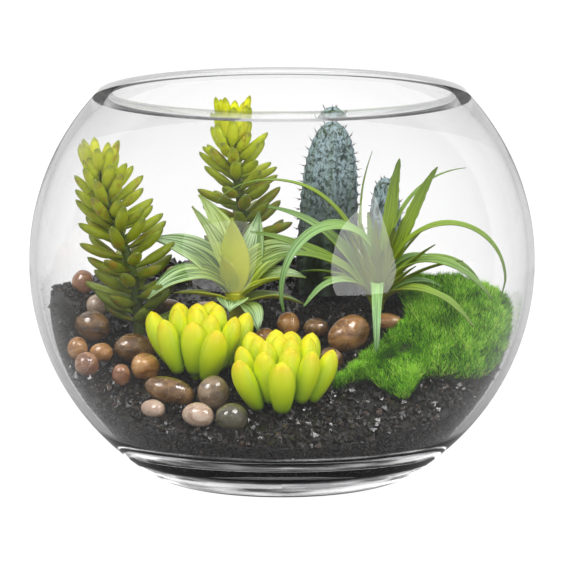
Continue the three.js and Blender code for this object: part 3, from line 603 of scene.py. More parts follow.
def build_bed():
    """A dark core a little under the bed's surface, with chips over its top and against the glass."""
    sides = 180
    a = np.arange(sides) * 2 * np.pi / sides
    rim = bed_rim(a)
    rings = []
    for s in np.linspace(0.04, 1, 44):
        x, y = s * rim * np.cos(a), s * rim * np.sin(a)
        inset = 1 - 0.006 * s
        z = bed_top(x, y) + 0.35 * ripple(x, y, 9) - CORE_SINK
        rings.append(np.stack([x * inset, y * inset, z], 1))
    top_z = bed_height(rim * np.cos(a), rim * np.sin(a))
    for t in np.linspace(0, 1, 26)[1:]:
        z = mix(top_z, BED_FLOOR + 0.4, t)
        rings.append(around(inner_wall(z) - WALL_GAP - 1.2 - 0.5 * ripple(a * 60, z, 8), a, z))
    rings += [around(r, a, BED_FLOOR) for r in (30, 12)]
    core = Skin()
    core.loft(np.array(rings[::-1]), [0, 0, BED_FLOOR], [0, 0, bed_height(0, 0) - CORE_SINK], tone=0.2)
    shade = grit_shader()
    core.piece("grit_core", shade, "grit", ["grit_bed"])

    on_top, n = Skin(), TOP_CHIPS
    turn, share = random.uniform(0, 2 * np.pi, n), np.sqrt(random.random(n))
    r = share * (bed_rim(turn) - 0.9)
    x, y = r * np.cos(turn), r * np.sin(turn)
    size = 0.65 + 1.4 * random.random(n) ** 2.5
    lift = random.uniform(-1.0, 0.3, n) * (1 - share**6)
    chips(on_top, np.stack([x, y, bed_top(x, y) + lift], 1), size)
    on_top.piece("grit_top_chips", shade, "grit", ["grit_bed"], flat=True)

    on_wall, n = Skin(), WALL_CHIPS
    turn, depth = random.uniform(0, 2 * np.pi, n), random.random(n)
    rim_z = bed_height(bed_rim(turn) * np.cos(turn), bed_rim(turn) * np.sin(turn))
    z = mix(FLOOR_Z + 2.2, rim_z - 0.3, depth)
    size = random.uniform(0.6, 1.25, n)
    r = inner_wall(z) - 0.5 - 1.25 * size - random.exponential(0.5, n)
    chips(on_wall, around(r, turn, z), size)
    on_wall.piece("grit_wall_chips", shade, "grit", ["grit_bed"], flat=True)


# ---- moss mat

MOSS_CENTRE, MOSS_THICKNESS, MOSS_EDGE = (60.0, -2.0), 6.0, 2.4
MOSS_SINK, MOSS_TRIES = 0.6, 95000
# Each bald patch of the mat: how bald, its middle and how far it spreads.
BALD_PATCHES = ((1, (47, -14), (8, 6)), (0.8, (44, 2), (5, 6)), (0.7, (38, -21), (6, 3)))
MOSS_OUTLINE = [
    (21, -33), (33, -28), (47, -42), (56, -28), (77, -27.8), (87.5, -12.4), (90.8, 0), (91.2, 18.2),
    (76, 36), (57, 44), (48, 34), (49, 17), (50, 7), (42, -5), (35, -13), (28, -22),
]


def moss_top(x, y, s):
    """The mat's top, from its middle (s = 0) to its edge (s = 1)."""
    rim = MOSS_EDGE + (MOSS_THICKNESS - MOSS_EDGE) * np.sqrt(np.clip(1 - s**4, 0, None))
    tufts = 0.7 * np.sin(x * 0.55) * np.cos(y * 0.6 + 0.8)
    return bed_height(x, y) + rim + tufts * smooth((1 - s) / 0.1)


def build_moss():
    """A peaty backing on the bed, with a short fibre wherever a random draw keeps one."""
    outline = smooth_path(MOSS_OUTLINE, closed=True, per_span=12)
    cx, cy = MOSS_CENTRE
    under, over = [], []
    for s in (0.3, 0.7, 0.95, 0.98):
        x, y = mix(cx, outline[:, 0], s), mix(cy, outline[:, 1], s)
        under.append(np.stack([x, y, bed_height(x, y) - MOSS_SINK], 1))
    for s in np.linspace(1, 0.05, 40):
        x, y = mix(cx, outline[:, 0], s), mix(cy, outline[:, 1], s)
        over.append(np.stack([x, y, moss_top(x, y, s) - 1.0 + 0.4 * ripple(x, y, 5)], 1))
    low_middle, high_middle = [cx, cy, bed_height(cx, cy) - MOSS_SINK], [cx, cy, moss_top(cx, cy, 0) - 1]
    backing = Skin()
    backing.loft(np.array(under + over), low_middle, high_middle)
    backing.piece("moss_backing", peat_shader(), "moss", ["moss_mat"])

    m = len(outline)
    place = random.uniform(0, m, MOSS_TRIES)
    low = place.astype(int)
    edge = mix(outline[low % m], outline[(low + 1) % m], (place - low)[:, None])
    reach = np.linalg.norm(edge - np.array(MOSS_CENTRE), axis=1)
    edge = edge[random.random(MOSS_TRIES) < (reach / reach.max()) ** 1.6 + 0.08]
    n = len(edge)
    s = np.sqrt(random.random(n)) * 1.005
    x, y = mix(cx, edge[:, 0], s), mix(cy, edge[:, 1], s)
    clump = ripple(x, y, 7, 2) + 0.6 * ripple(x, y, 2.6, 5)
    bald = sum(share * bell(x - at[0], y - at[1], *spread) for share, at, spread in BALD_PATCHES)
    length = (2.7 + 1.5 * clump + random.uniform(-1.2, 1.9, n)) * (1 - 0.75 * np.clip(bald, 0, 1))
    length = np.clip(length, 0.6, 5.2)
    outward = unit(np.stack([x - cx, y - cy], 1)) * (s**5)[:, None]
    lean = 0.55 * outward + 0.5 * random.normal(size=(n, 2)) + 0.25 * np.stack([clump, ripple(x, y, 9, 4)], 1)
    along = unit(np.stack([lean[:, 0], lean[:, 1], np.ones(n)], 1))
    foot = np.stack([x, y, moss_top(x, y, np.minimum(s, 1)) - 1.3], 1)
    across = unit(np.cross(along, random.normal(size=(n, 3)))) * random.uniform(0.14, 0.34, n)[:, None]
    points = np.stack([foot - across, foot + across, foot + along * length[:, None]], 1).reshape(-1, 3)
    tone = 0.42 + 0.3 * clump + 0.3 * ripple(x, y, 13, 8) + random.uniform(-0.5, 0.5, n) - 0.6 * bald
    tone, tips = np.repeat(np.clip(tone, 0, 1), 3), np.tile([0, 0, 1.0], n)
    fuzz = Skin()
    fuzz.add(points, [np.arange(3 * n).reshape(-1, 3)], tone=tone, along=tips)
    fuzz.piece("moss_fuzz", moss_shader(), "moss", ["moss_mat"], flat=True)


# ---- pebbles

# Each pebble, by the end of its node's name: where it lies, its half sizes, its turn and tilt in degrees, how
# far its middle stands above the bed as a share of its half height, and its kind of stone.
PEBBLES = {
    "front_bean": ((-44, -41), (10, 5.6, 5.2), -8, 14, 0.85, "brown"),
    "front_round": ((-26.5, -44.5), (6.4, 6, 6.6), 0, 0, 0.82, "taupe"),
    "front_pale": ((-32, -58.5), (6.2, 5, 4.8), -15, 4, 0.72, "pale"),
    "front_olive": ((-19.6, -60.5), (6.2, 5.6, 5.6), 20, 0, 0.72, "olive"),
    "front_pink": ((-49.5, -51), (5.2, 3.6, 3.4), -40, 0, 0.72, "pale"),
    "left_orange": ((-53.5, -23), (6, 5, 5.6), 35, 10, 0.82, "orange"),
    "left_small": ((-63, -27.5), (3.6, 3.4, 4.4), 0, 0, 0.82, "rose"),
    "left_tan": ((-71.5, -10.5), (4.8, 3.8, 3.8), -20, 0, 0.82, "orange"),
    "left_wet": ((-58, -7.5), (8.6, 6.2, 6), 10, 6, 0.72, "brown"),
    "left_big": ((-76, 2.5), (7.2, 5.8, 6.4), -10, 8, 0.82, "brown"),
    "left_wall": ((-81, -10.5), (4.2, 4.2, 4.8), 0, 0, 0.82, "orange"),
    "left_low": ((-76.5, -20.5), (4.8, 4.6, 5), 20, 0, 0.72, "rose"),
    "heap_red": ((-81, 27), (4.6, 4, 5.4), 0, 14, 0.82, "rose"),
    "heap_grey": ((-74.5, 19.5), (5, 4.4, 4.2), 15, 0, 0.82, "pale"),
    "back_pink": ((-51, 70), (3.6, 4, 4.4), 0, 0, 0.82, "rose"),
    "back_orange": ((-44, 57), (4.2, 4, 3.6), 0, 0, 0.82, "orange"),
    "back_pale": ((-34, 74), (5.4, 4.4, 4.4), 10, 0, 0.82, "pale"),
    "mid_maroon": ((-46, 27), (6, 4.8, 4), -12, 0, 0.82, "brown"),
    "mid_grey": ((-31, 24), (4.8, 4.2, 4.6), 0, 0, 0.82, "pale"),
    "mid_brown": ((-7, 2), (4.6, 4.4, 4.4), 30, 0, 0.82, "orange"),
    "mid_orange": ((2.5, 13), (4.8, 4.2, 4.6), -25, 12, 0.82, "orange"),
    "mid_dark": ((13.5, 8), (5, 4.4, 4.2), 0, 0, 0.82, "brown"),
    "right_big": ((26, -3.5), (9.2, 6.2, 7), 28, -24, 0.82, "tan"),
    "right_glossy": ((19, -15.5), (5.2, 4.2, 4.2), -20, 8, 0.82, "brown"),
    "right_tan": ((42, 4.5), (6, 4, 3.4), -8, 0, 0.82, "tan"),
}
# Each kind of stone: its dark, middle, light and vein colours, and its slot.
STONES = {
    "brown": ("38240f", "6c4c2a", "987244", "cca878", "pebble_brown"),
    "taupe": ("5c4c3a", "8a735a", "ab9478", "c4ad90", "pebble_grey"),
    "pale": ("9a7c68", "c3a48c", "dcc7b2", "efe0cf", "pebble_pale"),
    "olive": ("2c2a20", "55503c", "7a7258", "948a6a", "pebble_grey"),
    "orange": ("7a4a20", "b07a3c", "d4a468", "f0d0a0", "pebble_orange"),
    "rose": ("6c4028", "a06c48", "c89c78", "e8ccb0", "pebble_orange"),
    "tan": ("6a4426", "a0713f", "c4945c", "dcb680", "pebble_orange"),
}


def turn_matrix(turn, tilt):
    """The turn about the upright axis that follows a tilt, both in degrees."""
    return np.array(Matrix.Rotation(math.radians(turn), 3, "Z") @ Matrix.Rotation(math.radians(tilt), 3, "Y"))


def build_pebbles():
    """Each stone as a fine ball that is pulled to its half sizes, made uneven, turned and set in the bed."""
    ball = bmesh.new()
    bmesh.ops.create_icosphere(ball, subdivisions=5, radius=1)
    p = np.array([v.co for v in ball.verts])
    faces = np.array([[v.index for v in f.verts] for f in ball.faces])
    ball.free()
    shades = {kind: pebble_shader("stone_" + kind, *look[:4]) for kind, look in STONES.items()}
    for seed, (name, (at, size, turn, tilt, stand, kind)) in enumerate(PEBBLES.items()):
        wave = 1 + 0.07 * np.sin(2.1 * p[:, 0] + seed) * np.cos(1.7 * p[:, 1] - seed)
        wave = wave - 0.04 * p[:, 0] * p[:, 2]
        fine = 1 + 0.012 * np.sin(4.3 * p[:, 2] + seed) * np.cos(3.9 * p[:, 0] + 2 * seed)
        points = p * (wave * fine)[:, None] * np.array(size) @ turn_matrix(turn, tilt).T
        skin = Skin()
        skin.add(points + [*at, bed_height(*at) + stand * size[2]], [faces])
        skin.piece("pebble_" + name + "_fine", shades[kind], STONES[kind][4], ["pebble_" + name])


# ---- leaves

FAT_RINGS, FAT_SIDES, BLADE_RINGS, BLADE_SIDES = 18, 16, 44, 22
ROOT_SINK, TIP_POINT = 0.6, 0.35  # how far a leaf reaches past its root, and a fat one's point past its end


def leaf_line(leaf, stations):
    """Where a leaf's middle line runs: its points and its along, side and up directions."""
    steps = 40
    shares = np.arange(steps + 1) / steps
    turn = math.radians(leaf["azimuth"])

    def along_at(s):
        lift = np.radians(mix(leaf["rise"], leaf["fall"], s ** leaf.get("bend", 1.0)))
        flat = np.cos(lift)
        return np.stack([flat * math.cos(turn), flat * math.sin(turn), np.sin(lift)], -1)

    walk = np.cumsum(along_at(shares)[:-1], axis=0) * leaf["length"] / steps
    places = leaf["root"] + np.vstack([np.zeros(3), walk])
    at = np.stack([np.interp(stations, shares, places[:, axis]) for axis in range(3)], 1)
    along = along_at(stations)
    level = np.array([-math.sin(turn), math.cos(turn), 0.0])
    roll = math.radians(leaf.get("roll", 0.0))
    side = level * math.cos(roll) + np.cross(along, level) * math.sin(roll)
    return at, along, side, np.cross(along, side)


def add_fat_leaf(skin, leaf, rank, tone, flatten=1.0):
    """A plump leaf, oval in section or flattened above, with a tiny point at its tip."""
    stations = 1 - (1 - np.arange(FAT_RINGS) / FAT_RINGS) ** 1.5
    at, along, side, up = leaf_line(leaf, stations)
    a = np.arange(FAT_SIDES) * 2 * np.pi / FAT_SIDES
    girth = leaf["profile"](stations)[:, None]
    w = leaf["width"] / 2 * girth * np.cos(a)
    t = leaf["thickness"] / 2 * girth * np.sin(a) * np.where(np.sin(a) > 0, flatten, 1.0)
    rings = at[:, None] + side[:, None] * w[..., None] + up[:, None] * t[..., None]
    tip = leaf_line(leaf, np.array([1.0]))
    start, end = at[0] - ROOT_SINK * along[0], tip[0][0] + TIP_POINT * tip[1][0]
    skin.marked_loft(rings, start, end, stations, np.cos(a), rank=rank, tone=tone)


def add_blade(skin, leaf, fold, thickness, tone, yellow=0.0):
    """A thin arched blade that is folded along its midrib, with slightly waved edges."""
    half, face = thickness / 2, BLADE_SIDES // 2
    stations = np.linspace(0, 0.995, BLADE_RINGS)
    at, along, side, up = leaf_line(leaf, stations)
    a = np.linspace(1, -1, face)
    across = np.concatenate([a, a[::-1]])
    above = np.repeat([1.0, 0.0], face)
    w = (leaf["width"] / 2 * leaf["profile"](stations))[:, None]
    depth = np.minimum(half, 0.35 * w) * (1 - 0.6 * across**4)
    wave = 0.05 * w * np.sin(stations * leaf["length"] / 3.1 + 5 * tone)[:, None]
    wave = wave * np.sign(across) * across**2
    height = fold * w * np.abs(across) ** 1.25 + np.where(above > 0, depth, -depth) + wave
    rings = at[:, None] + side[:, None] * (w * across)[..., None] + up[:, None] * height[..., None]
    start, end = at[0] - ROOT_SINK * along[0], leaf_line(leaf, np.array([1.0]))[0][0]
    upper = np.append(np.tile(above, BLADE_RINGS), [0, 1])
    skin.marked_loft(rings, start, end, stations, across, upper=upper, tone=tone, yellow=yellow)


def add_peg(skin, at, radius, top_z, heart_radius, **marks):
    """A plant's straight root peg, which may swell into the heart that its leaves grow from."""
    x, y = at
    ground = float(bed_height(x, y))
    swell = min(top_z - 1, max(ground + 1, top_z - 2 * heart_radius))
    z = np.concatenate([np.linspace(ground - HOLE_DEPTH + 2, swell, 8), np.linspace(swell, top_z, 12)[1:]])
    radii = np.interp(z, [swell, top_z], [radius, heart_radius])
    path = np.stack([np.full(len(z), x), np.full(len(z), y), z], 1)
    add_stalk(skin, path, radii, 20, **marks)


# ---- stonecrops

STONECROPS = {
    "stonecrop_left": dict(
        path=[
            (-57, 11, 54), (-58, 10.5, 68), (-61, 9.5, 84), (-66.5, 7.5, 100), (-70.5, 6, 112), (-73, 5, 122),
        ],
        leaves=76, first=0.06, length=(19.5, 14.5), rise=(18, 66), stem=2.2, seed=3,
    ),
    "stonecrop_middle": dict(
        path=[
            (-14, 46, 64), (-14.5, 45.5, 80), (-16, 45, 96), (-18, 44, 110), (-19.5, 43, 122),
            (-20.5, 42, 132),
        ],
        leaves=62, first=0.2, length=(18.5, 14.5), rise=(16, 70), stem=2.0, seed=40,
    ),
}
CLUB_WIDTH, CLUB_CURL = 5.9, 18


def club_girth(s):
    """How thick a stonecrop's leaf is along its length: widest past its middle, with a round end."""
    return (0.34 + 0.66 * smooth(s / 0.5)) * np.sqrt(np.clip(1 - s**4, 0, None))


def build_stonecrop(name, spec, leaf_shade, stem_shade):
    """A leafy stem, with its leaves closer together and steeper towards its top."""
    path = smooth_path(spec["path"])
    seed = spec["seed"]
    skin = Skin()
    for i in range(spec["leaves"]):
        t = i / (spec["leaves"] - 1)
        crowded = 1 - (1 - t) ** 1.35
        azimuth = GOLDEN_ANGLE * i + seed + 15 * jitter(i, seed + 1)
        out = np.array([math.cos(math.radians(azimuth)), math.sin(math.radians(azimuth)), 0])
        lift = mix(*spec["rise"], t**2.2) + 12 * jitter(i, seed)
        leaf = dict(
            root=path_point(path, mix(spec["first"], 1, crowded)) + out * 0.8 * spec["stem"],
            azimuth=azimuth,
            length=mix(*spec["length"], t) * (1 + 0.12 * jitter(i, seed + 2)),
            rise=lift,
            fall=lift + CLUB_CURL * (1 - 0.6 * t),
            width=CLUB_WIDTH * mix(1, 0.8, t),
            thickness=CLUB_WIDTH * mix(0.84, 0.68, t),
            profile=club_girth,
        )
        add_fat_leaf(skin, leaf, rank=t, tone=draw(i, seed + 5), flatten=0.8)
    skin.piece(name + "_leaves", leaf_shade, "stonecrop_leaf", [name])
    stem = Skin()
    add_stalk(stem, path, spec["stem"] * np.linspace(1, 0.7, len(path)), 14)
    at = spec["path"][0][:2]
    add_peg(stem, at, spec["stem"], bed_height(*at) + PEG_REACH, spec["stem"])
    stem.piece(name + "_stem", stem_shade, "stonecrop_leaf", [name])


# ---- rosettes

ROSETTES = {
    "rosette_left": dict(at=(-33, -21.5), leaves=13, length=22.5, width=11.4, core=10.5, turn=20),
    "rosette_right": dict(at=(0, -43.5), leaves=17, length=21.5, width=11, core=12, turn=80),
}
# Their outermost and their innermost leaf: the rise, the curl, the root's height and the narrowing.
EGG_RISE, EGG_CURL, EGG_ROOT, EGG_SIZE = (54, 84), (20, 6), (2.6, 7), (1, 0.86)


def egg_girth(s):
    """How thick a rosette's leaf is along its length: swelling from a stout root to a blunt end."""
    return (0.6 + 0.4 * np.sin(np.pi * np.minimum(1, s / 1.22))) * np.sqrt(np.clip(1 - s**7, 0, None))


def build_rosette(name, spec, shade):
    """A cup of plump leaves, the steeper the nearer they stand to its middle."""
    x, y = spec["at"]
    skin = Skin()
    for i in range(spec["leaves"]):
        inner = i / (spec["leaves"] - 1)
        azimuth = spec["turn"] + GOLDEN_ANGLE * i
        out, a = spec["core"] * math.sqrt(1 - inner), math.radians(azimuth)
        root_x, root_y = x + out * math.cos(a), y + out * math.sin(a)
        rise = mix(*EGG_RISE, inner) + 3 * jitter(i, spec["turn"])
        leaf = dict(
            root=np.array([root_x, root_y, bed_height(root_x, root_y) + mix(*EGG_ROOT, inner)]),
            azimuth=azimuth,
            length=spec["length"] * mix(1, 0.9, inner),
            rise=rise,
            fall=rise + mix(*EGG_CURL, inner),
            width=spec["width"] * mix(*EGG_SIZE, inner),
            thickness=spec["width"] * mix(0.74, 0.66, inner),
            profile=egg_girth,
        )
        add_fat_leaf(skin, leaf, rank=inner, tone=draw(i, spec["turn"]))
    marks = dict(along=0.0, across=0.0, rank=0.0, tone=0.5)
    add_peg(skin, spec["at"], PEG_RADIUS, bed_height(x, y) + PEG_REACH, 9, **marks)
    skin.piece(name + "_leaves", shade, "rosette_leaf", [name])


# ---- cacti

CACTI = {
    "cactus_tall": dict(
        foot=(18, 50.5), top=(20.5, 48, 141), ribs=7, radius=13.4, rows=17, spine=2.8, turn=12,
    ),
    "cactus_small": dict(
        foot=(42, 42), top=(42, 41, 114), ribs=6, radius=8.2, rows=10, spine=2.6, turn=40,
    ),
}
RIB_DEPTH, SPINE_RADIUS, SPINE_ROOT, SPINE_SIDES = 0.13, 0.26, 0.8, 5
# Each spine of a tuft: how far it leans sideways, and its length as a share of the longest.
TUFT = ((0, 1), (0.8, 0.7), (-0.8, 0.7), (0.3, 0.5))


def cactus_girth(t):
    """A cactus' radius up its height, as a share: a little narrower upwards, with a round crown."""
    return (1 - 0.2 * t) * np.sqrt(np.clip(1 - t**6, 0, None))


def build_cactus(name, spec, skin_shade, spine_shade):
    """A ribbed column with rows of bumps on its ribs, and a tuft of spines on each bump."""
    foot, ribs, turn = spec["foot"], spec["ribs"], math.radians(spec["turn"])
    base = np.array([*foot, bed_height(*foot) - 1.5])
    axis = np.array(spec["top"]) - base
    sides = 16 * ribs
    t = 1 - (1 - np.linspace(0.01, 0.996, 110)) ** 1.25
    a = np.arange(sides) * 2 * np.pi / sides
    ridge = 0.5 + 0.5 * np.cos(ribs * a)
    bumps = 1 + 0.022 * ridge * np.cos(2 * np.pi * spec["rows"] * t)[:, None]
    lumps = 1 + 0.012 * ripple(a[None] * 40, t[:, None] * 90, 7)
    r = spec["radius"] * cactus_girth(t)[:, None] * (1 - RIB_DEPTH * (1 - ridge)) * bumps * lumps
    out = np.stack([np.cos(a + turn), np.sin(a + turn), 0 * a], 1)
    rings = base + axis * t[:, None, None] + out * r[..., None]
    body = Skin()
    body.marked_loft(rings, base, spec["top"], t, ridge)
    add_peg(body, foot, PEG_RADIUS, bed_height(*foot) + PEG_REACH, PEG_RADIUS, along=0.0, across=0.0)
    body.piece(name + "_skin", skin_shade, "cactus_skin", [name])

    spines = Skin()
    for row in range(spec["rows"]):
        for j in range(ribs):
            share = mix(0.1, 0.985, (row + 0.5 * (j % 2)) / (spec["rows"] - 0.5))
            out, across = around(1, 2 * math.pi * j / ribs + turn + np.array([0, math.pi / 2]), 0)
            skin_point = base + axis * share + out * spec["radius"] * float(cactus_girth(share))
            lift = mix(0.2, 2.4, float(smooth((share - 0.7) / 0.3)))
            for k, (sideways, size) in enumerate(TUFT):
                along = unit(out + across * sideways + np.array([0, 0, lift - 0.25 * k]))
                length = spec["spine"] * size * (1 + 0.25 * jitter(row * 7 + j, k))
                root = skin_point - SPINE_ROOT * along
                ring = rings_round([root], [along], [SPINE_RADIUS], SPINE_SIDES)
                marks = np.append(np.zeros(SPINE_SIDES + 1), 1.0)
                spines.loft(ring, root - 0.1 * along, skin_point + along * length, along=marks)
    spines.piece(name + "_spines", spine_shade, "cactus_skin", [name])


# ---- striped star plant and air plant

# Each head: where its stem stands, its crown's height, the radii of its stem and its heart, how far out its
# leaves are rooted, how far down the flat ones are, below which rise and over how many degrees, and how
# thick its leaves are and how deeply folded.
STAR = dict(at=(-18.5, 9), crown=71, stem=2.6, heart=4.4, out=2, drop=(5, 60, 60), thickness=1.0, fold=0.3)
AIR = dict(at=(38.5, 22), crown=69, stem=2.6, heart=5.0, out=2.2, drop=(3, 70, 40), thickness=0.9, fold=0.3)
# Each leaf: its azimuth, length, rise at the root, fall at the tip, width, bend, roll, and how yellow it is.
STAR_LEAVES = [
    (168, 42, 70, 0, 15, 0.8, -34, 0.0),
    (206, 42, 58, -50, 12.5, 0.85, -24, 0.0),
    (258, 32, 84, 80, 12.5, 1, 0, 0.8),
    (200, 40, 78, 54, 13, 0.9, -40, 0.25),
    (150, 43, 94, 42, 15, 1, -20, 0.35),
    (318, 22, 88, 86, 9, 1, 0, 1.0),
    (55, 35, 52, 80, 13, 1, 10, 0.0),
    (22, 38, 72, -32, 14, 1.1, 34, 0.15),
    (352, 29, 48, -18, 14, 1, 16, 0.1),
    (10, 27, 20, -28, 12, 1, 0, 0.1),
    (262, 15, 24, -40, 13, 1, 0, 0.0),
    (304, 19, 16, -84, 10, 1, 0, 0.0),
    (104, 34, 56, -10, 12, 1, 0, 0.0),
]
# The same for the air plant's leaves, with how cool their green is. The two stiff straps lie on their sides.
STRAP_ROLL = 70
AIR_LEAVES = [
    (178, 93, 78, -56, 4, 1.6, -16, 0.1),
    (186, 58, 64, 8, 6.4, 1.3, -46, 0.6),
    (216, 90, 110, -112, 6.6, 0.92, -40, 0.8),
    (197, 60, 52, 10, 6.6, 0.8, -46, 0.3),
    (205, 56, 52, -22, 5.6, 1.2, -30, 0.3),
    (226, 46, 44, -50, 5.8, 1.2, -20, 0.7),
    (268, 60, 50, -124, 5.8, 1, 0, 1.0),
    (20, 57, 86, 80, 5.6, 1, STRAP_ROLL, 0.0),
    (358, 57, 74, 61, 5.4, 1, STRAP_ROLL, 0.0),
    (12, 68, 88, 0, 3, 1.6, 30, 0.3),
    (190, 62, 68, 108, 2.8, 0.8, -30, 0.2),
    (340, 88, 78, -118, 4.6, 1.35, 24, 0.2),
    (6, 52, 64, -70, 5, 1.1, 24, 0.3),
    (331, 60, 76, -56, 7.2, 0.75, 20, 0.5),
    (312, 57, 38, -42, 6.8, 0.85, 10, 0.2),
    (350, 27, 50, -31, 6, 1, 20, 0.9),
    (345, 32, 88, -30, 5, 1.1, 30, 0.6),
]


def inner_leaves(count, seed, length, width, rise):
    """Rows for small young leaves that crowd the heart of a plant, within the reach of its old ones."""
    leaves = []
    for i in range(count):
        steep = mix(*rise, i / count) + 8 * jitter(i, seed)
        droop = steep - mix(80, 10, i / count) * draw(i, seed + 1)
        size, roll = 1 + 0.2 * jitter(i, seed + 2), 20 * jitter(i, seed + 3)
        leaves.append((GOLDEN_ANGLE * i + seed, length * size, steep, droop, width * size, 1, roll))
    return leaves


def star_width(s):
    return np.maximum(0.1, np.sin(np.pi * (0.06 + 0.94 * s) ** 0.8))


def air_width(s):
    return np.maximum(0.14, 0.4 + 0.77 * smooth(s / 0.2) - 1.02 * s**1.2)


def strap_width(s):
    """The width of the air plant's two stiff straps, with ragged edges and a round end."""
    ragged = 1 + 0.05 * np.sin(95 * s) + 0.05 * np.sin(61 * s + 1)
    return (0.7 + 0.3 * smooth(s / 0.2) - 0.55 * smooth((s - 0.55) / 0.45)) * ragged * np.sqrt(1 - s**14)


def add_head_leaf(skin, head, row, profile, tone, yellow=0.0):
    """A blade that grows from a head's crown, rooted lower down if it grows flat."""
    azimuth, length, rise, fall, width, bend, roll = row
    far, flat, over = head["drop"]
    drop = far * float(smooth((flat - rise) / over))
    root = np.array([*head["at"], head["crown"] - drop]) + around(head["out"], math.radians(azimuth), 0)
    leaf = dict(root=root, azimuth=azimuth, length=length, rise=rise, fall=fall, width=width, bend=bend)
    leaf.update(roll=roll, profile=profile)
    add_blade(skin, leaf, head["fold"], head["thickness"], tone, yellow)


def add_head_peg(skin, head, **marks):
    add_peg(skin, head["at"], head["stem"], head["crown"] + 1, head["heart"], along=0.0, across=0.0, **marks)


def build_star():
    skin = Skin()
    young = [(*leaf, 0.3 + 0.5 * draw(i, 4)) for i, leaf in enumerate(inner_leaves(5, 60, 22, 7, (20, 70)))]
    for i, (*row, yellow) in enumerate(STAR_LEAVES + young):
        add_head_leaf(skin, STAR, row, star_width, draw(i, 3), yellow)
    add_head_peg(skin, STAR, upper=0.0, tone=0.5, yellow=0.3)
    skin.piece("star_plant_leaves", striped_shader(), "star_leaf", ["star_plant"])


def build_air():
    skin = Skin()
    young = [(*leaf, 0.6 * draw(i, 9)) for i, leaf in enumerate(inner_leaves(22, 31, 31, 5.6, (36, 86)))]
    for *row, cool in AIR_LEAVES + young:
        add_head_leaf(skin, AIR, row, strap_width if row[-1] == STRAP_ROLL else air_width, cool)
    add_head_peg(skin, AIR, upper=1.0, tone=0.0, yellow=0.0)
    skin.piece("air_plant_leaves", air_shader(), "air_leaf", ["air_plant"])


# ---- camera, light and floor, in metres

PHOTO_SIZE = 564  # pixels
CAMERA_PLACE, CAMERA_AIM, LENS = (0, -1.766, 0.377), (0, 0, 0.0772), 288.5
LIGHT_AIM = (0, 0, 0.09)
# Each soft light's place, width and radiance.
SOFTBOXES = {
    "softbox_left": ((-0.55, -0.85, 0.75), 0.5, 6),
    "softbox_right": ((0.65, -0.75, 0.7), 0.5, 6),
    "softbox_top": ((-0.25, 0.15, 1.25), 0.9, 3),
}
# What the front of the bowl mirrors, two windows and a table's edge: its outline as the photograph's pixels
# and its radiance.
CARD_DISTANCE = 700  # mm from the bowl
CARDS = {
    "window_left": (
        [
            (184, 236), (196, 228), (218, 222), (246, 222), (256, 232), (256, 262), (246, 290), (214, 292),
            (190, 280),
        ],
        3.0,
    ),
    "window_right": (
        [
            (370, 187), (381, 213), (391, 247), (396, 271), (386, 296), (362, 306), (338, 298), (331, 272),
            (334, 250), (343, 226), (358, 209),
        ],
        6.0,
    ),
    "table_edge": (
        [(258, 300), (300, 303), (374, 302), (378, 305), (372, 308), (300, 309), (262, 307)],
        2.0,
    ),
}


def aim_at(made, target):
    """Turns a camera or a light towards a point."""
    made.rotation_euler = (Vector(target) - made.location).to_track_quat("-Z", "Y").to_euler()


def build_camera():
    data = bpy.data.cameras.new("camera")
    data.sensor_width, data.lens = 36, LENS
    data.clip_start, data.clip_end = 0.05, 50
    camera = add_object("camera", data)
    camera.location = CAMERA_PLACE
    aim_at(camera, CAMERA_AIM)
    bpy.context.scene.camera = camera


def softbox(name, place, width, radiance):
    """A square soft light that the glass shows no mirror image of."""
    data = bpy.data.lights.new(name, "AREA")
    data.size = width
    data.energy = math.pi * width**2 * radiance
    light = add_object(name, data)
    light.location = place
    light.visible_glossy = light.visible_transmission = False
    aim_at(light, LIGHT_AIM)


def view_ray(px, py):
    """The camera's place, in millimetres, and the direction that it sees a point of the photograph in."""
    camera = bpy.context.scene.camera
    bpy.context.view_layer.update()
    scale = camera.data.sensor_width / PHOTO_SIZE / camera.data.lens
    way = Vector(((px - PHOTO_SIZE / 2) * scale, (PHOTO_SIZE / 2 - py) * scale, -1))
    return np.array(camera.location) / MM, unit(np.array(camera.matrix_world.to_3x3() @ way))


def mirrored(px, py):
    """The point at the cards' distance from the bowl that the outer glass mirrors to a pixel."""
    eye, way = view_ray(px, py)
    shape = 1 / np.array([RADIUS, RADIUS, HALF_HEIGHT])
    start = (eye - [0, 0, CENTRE_Z]) * shape
    step = way * shape
    a, b, c = step @ step, start @ step, start @ start - 1
    hit = eye + way * (-b - math.sqrt(b * b - a * c)) / a
    normal = unit((hit - [0, 0, CENTRE_Z]) * shape**2)
    return hit + CARD_DISTANCE * (way - 2 * (way @ normal) * normal)


def reflected_card(name, outline, radiance):
    """A lit card that shows only as a mirror image on the front of the bowl, with an outline in pixels."""
    edge = smooth_path(outline, closed=True, per_span=6)
    middle = edge.mean(axis=0)
    rings = [middle + (edge - middle) * share for share in (0.02, 0.35, 0.7, 1.0)]
    points = [mirrored(px, py) * MM for ring in rings for px, py in ring]
    n = len(edge)
    faces = []
    for i in range(len(rings) - 1):
        for j in range(n):
            k = (j + 1) % n
            faces.append((n * i + j, n * i + k, n * (i + 1) + k, n * (i + 1) + j))
    mesh = bpy.data.meshes.new(name)
    mesh.from_pydata(points, [], faces)
    s = Shader(name, Base_Color=(0, 0, 0, 1), Specular_IOR_Level=0.0, Emission_Strength=radiance)
    s.set(Emission_Color=s.ramp(s.noise(1.2, detail=2), (0.3, 0.75), (0.7, 1.0)))
    mesh.materials.append(s.material)
    card = add_object(name, mesh)
    card.visible_camera = card.visible_diffuse = card.visible_transmission = card.visible_shadow = False


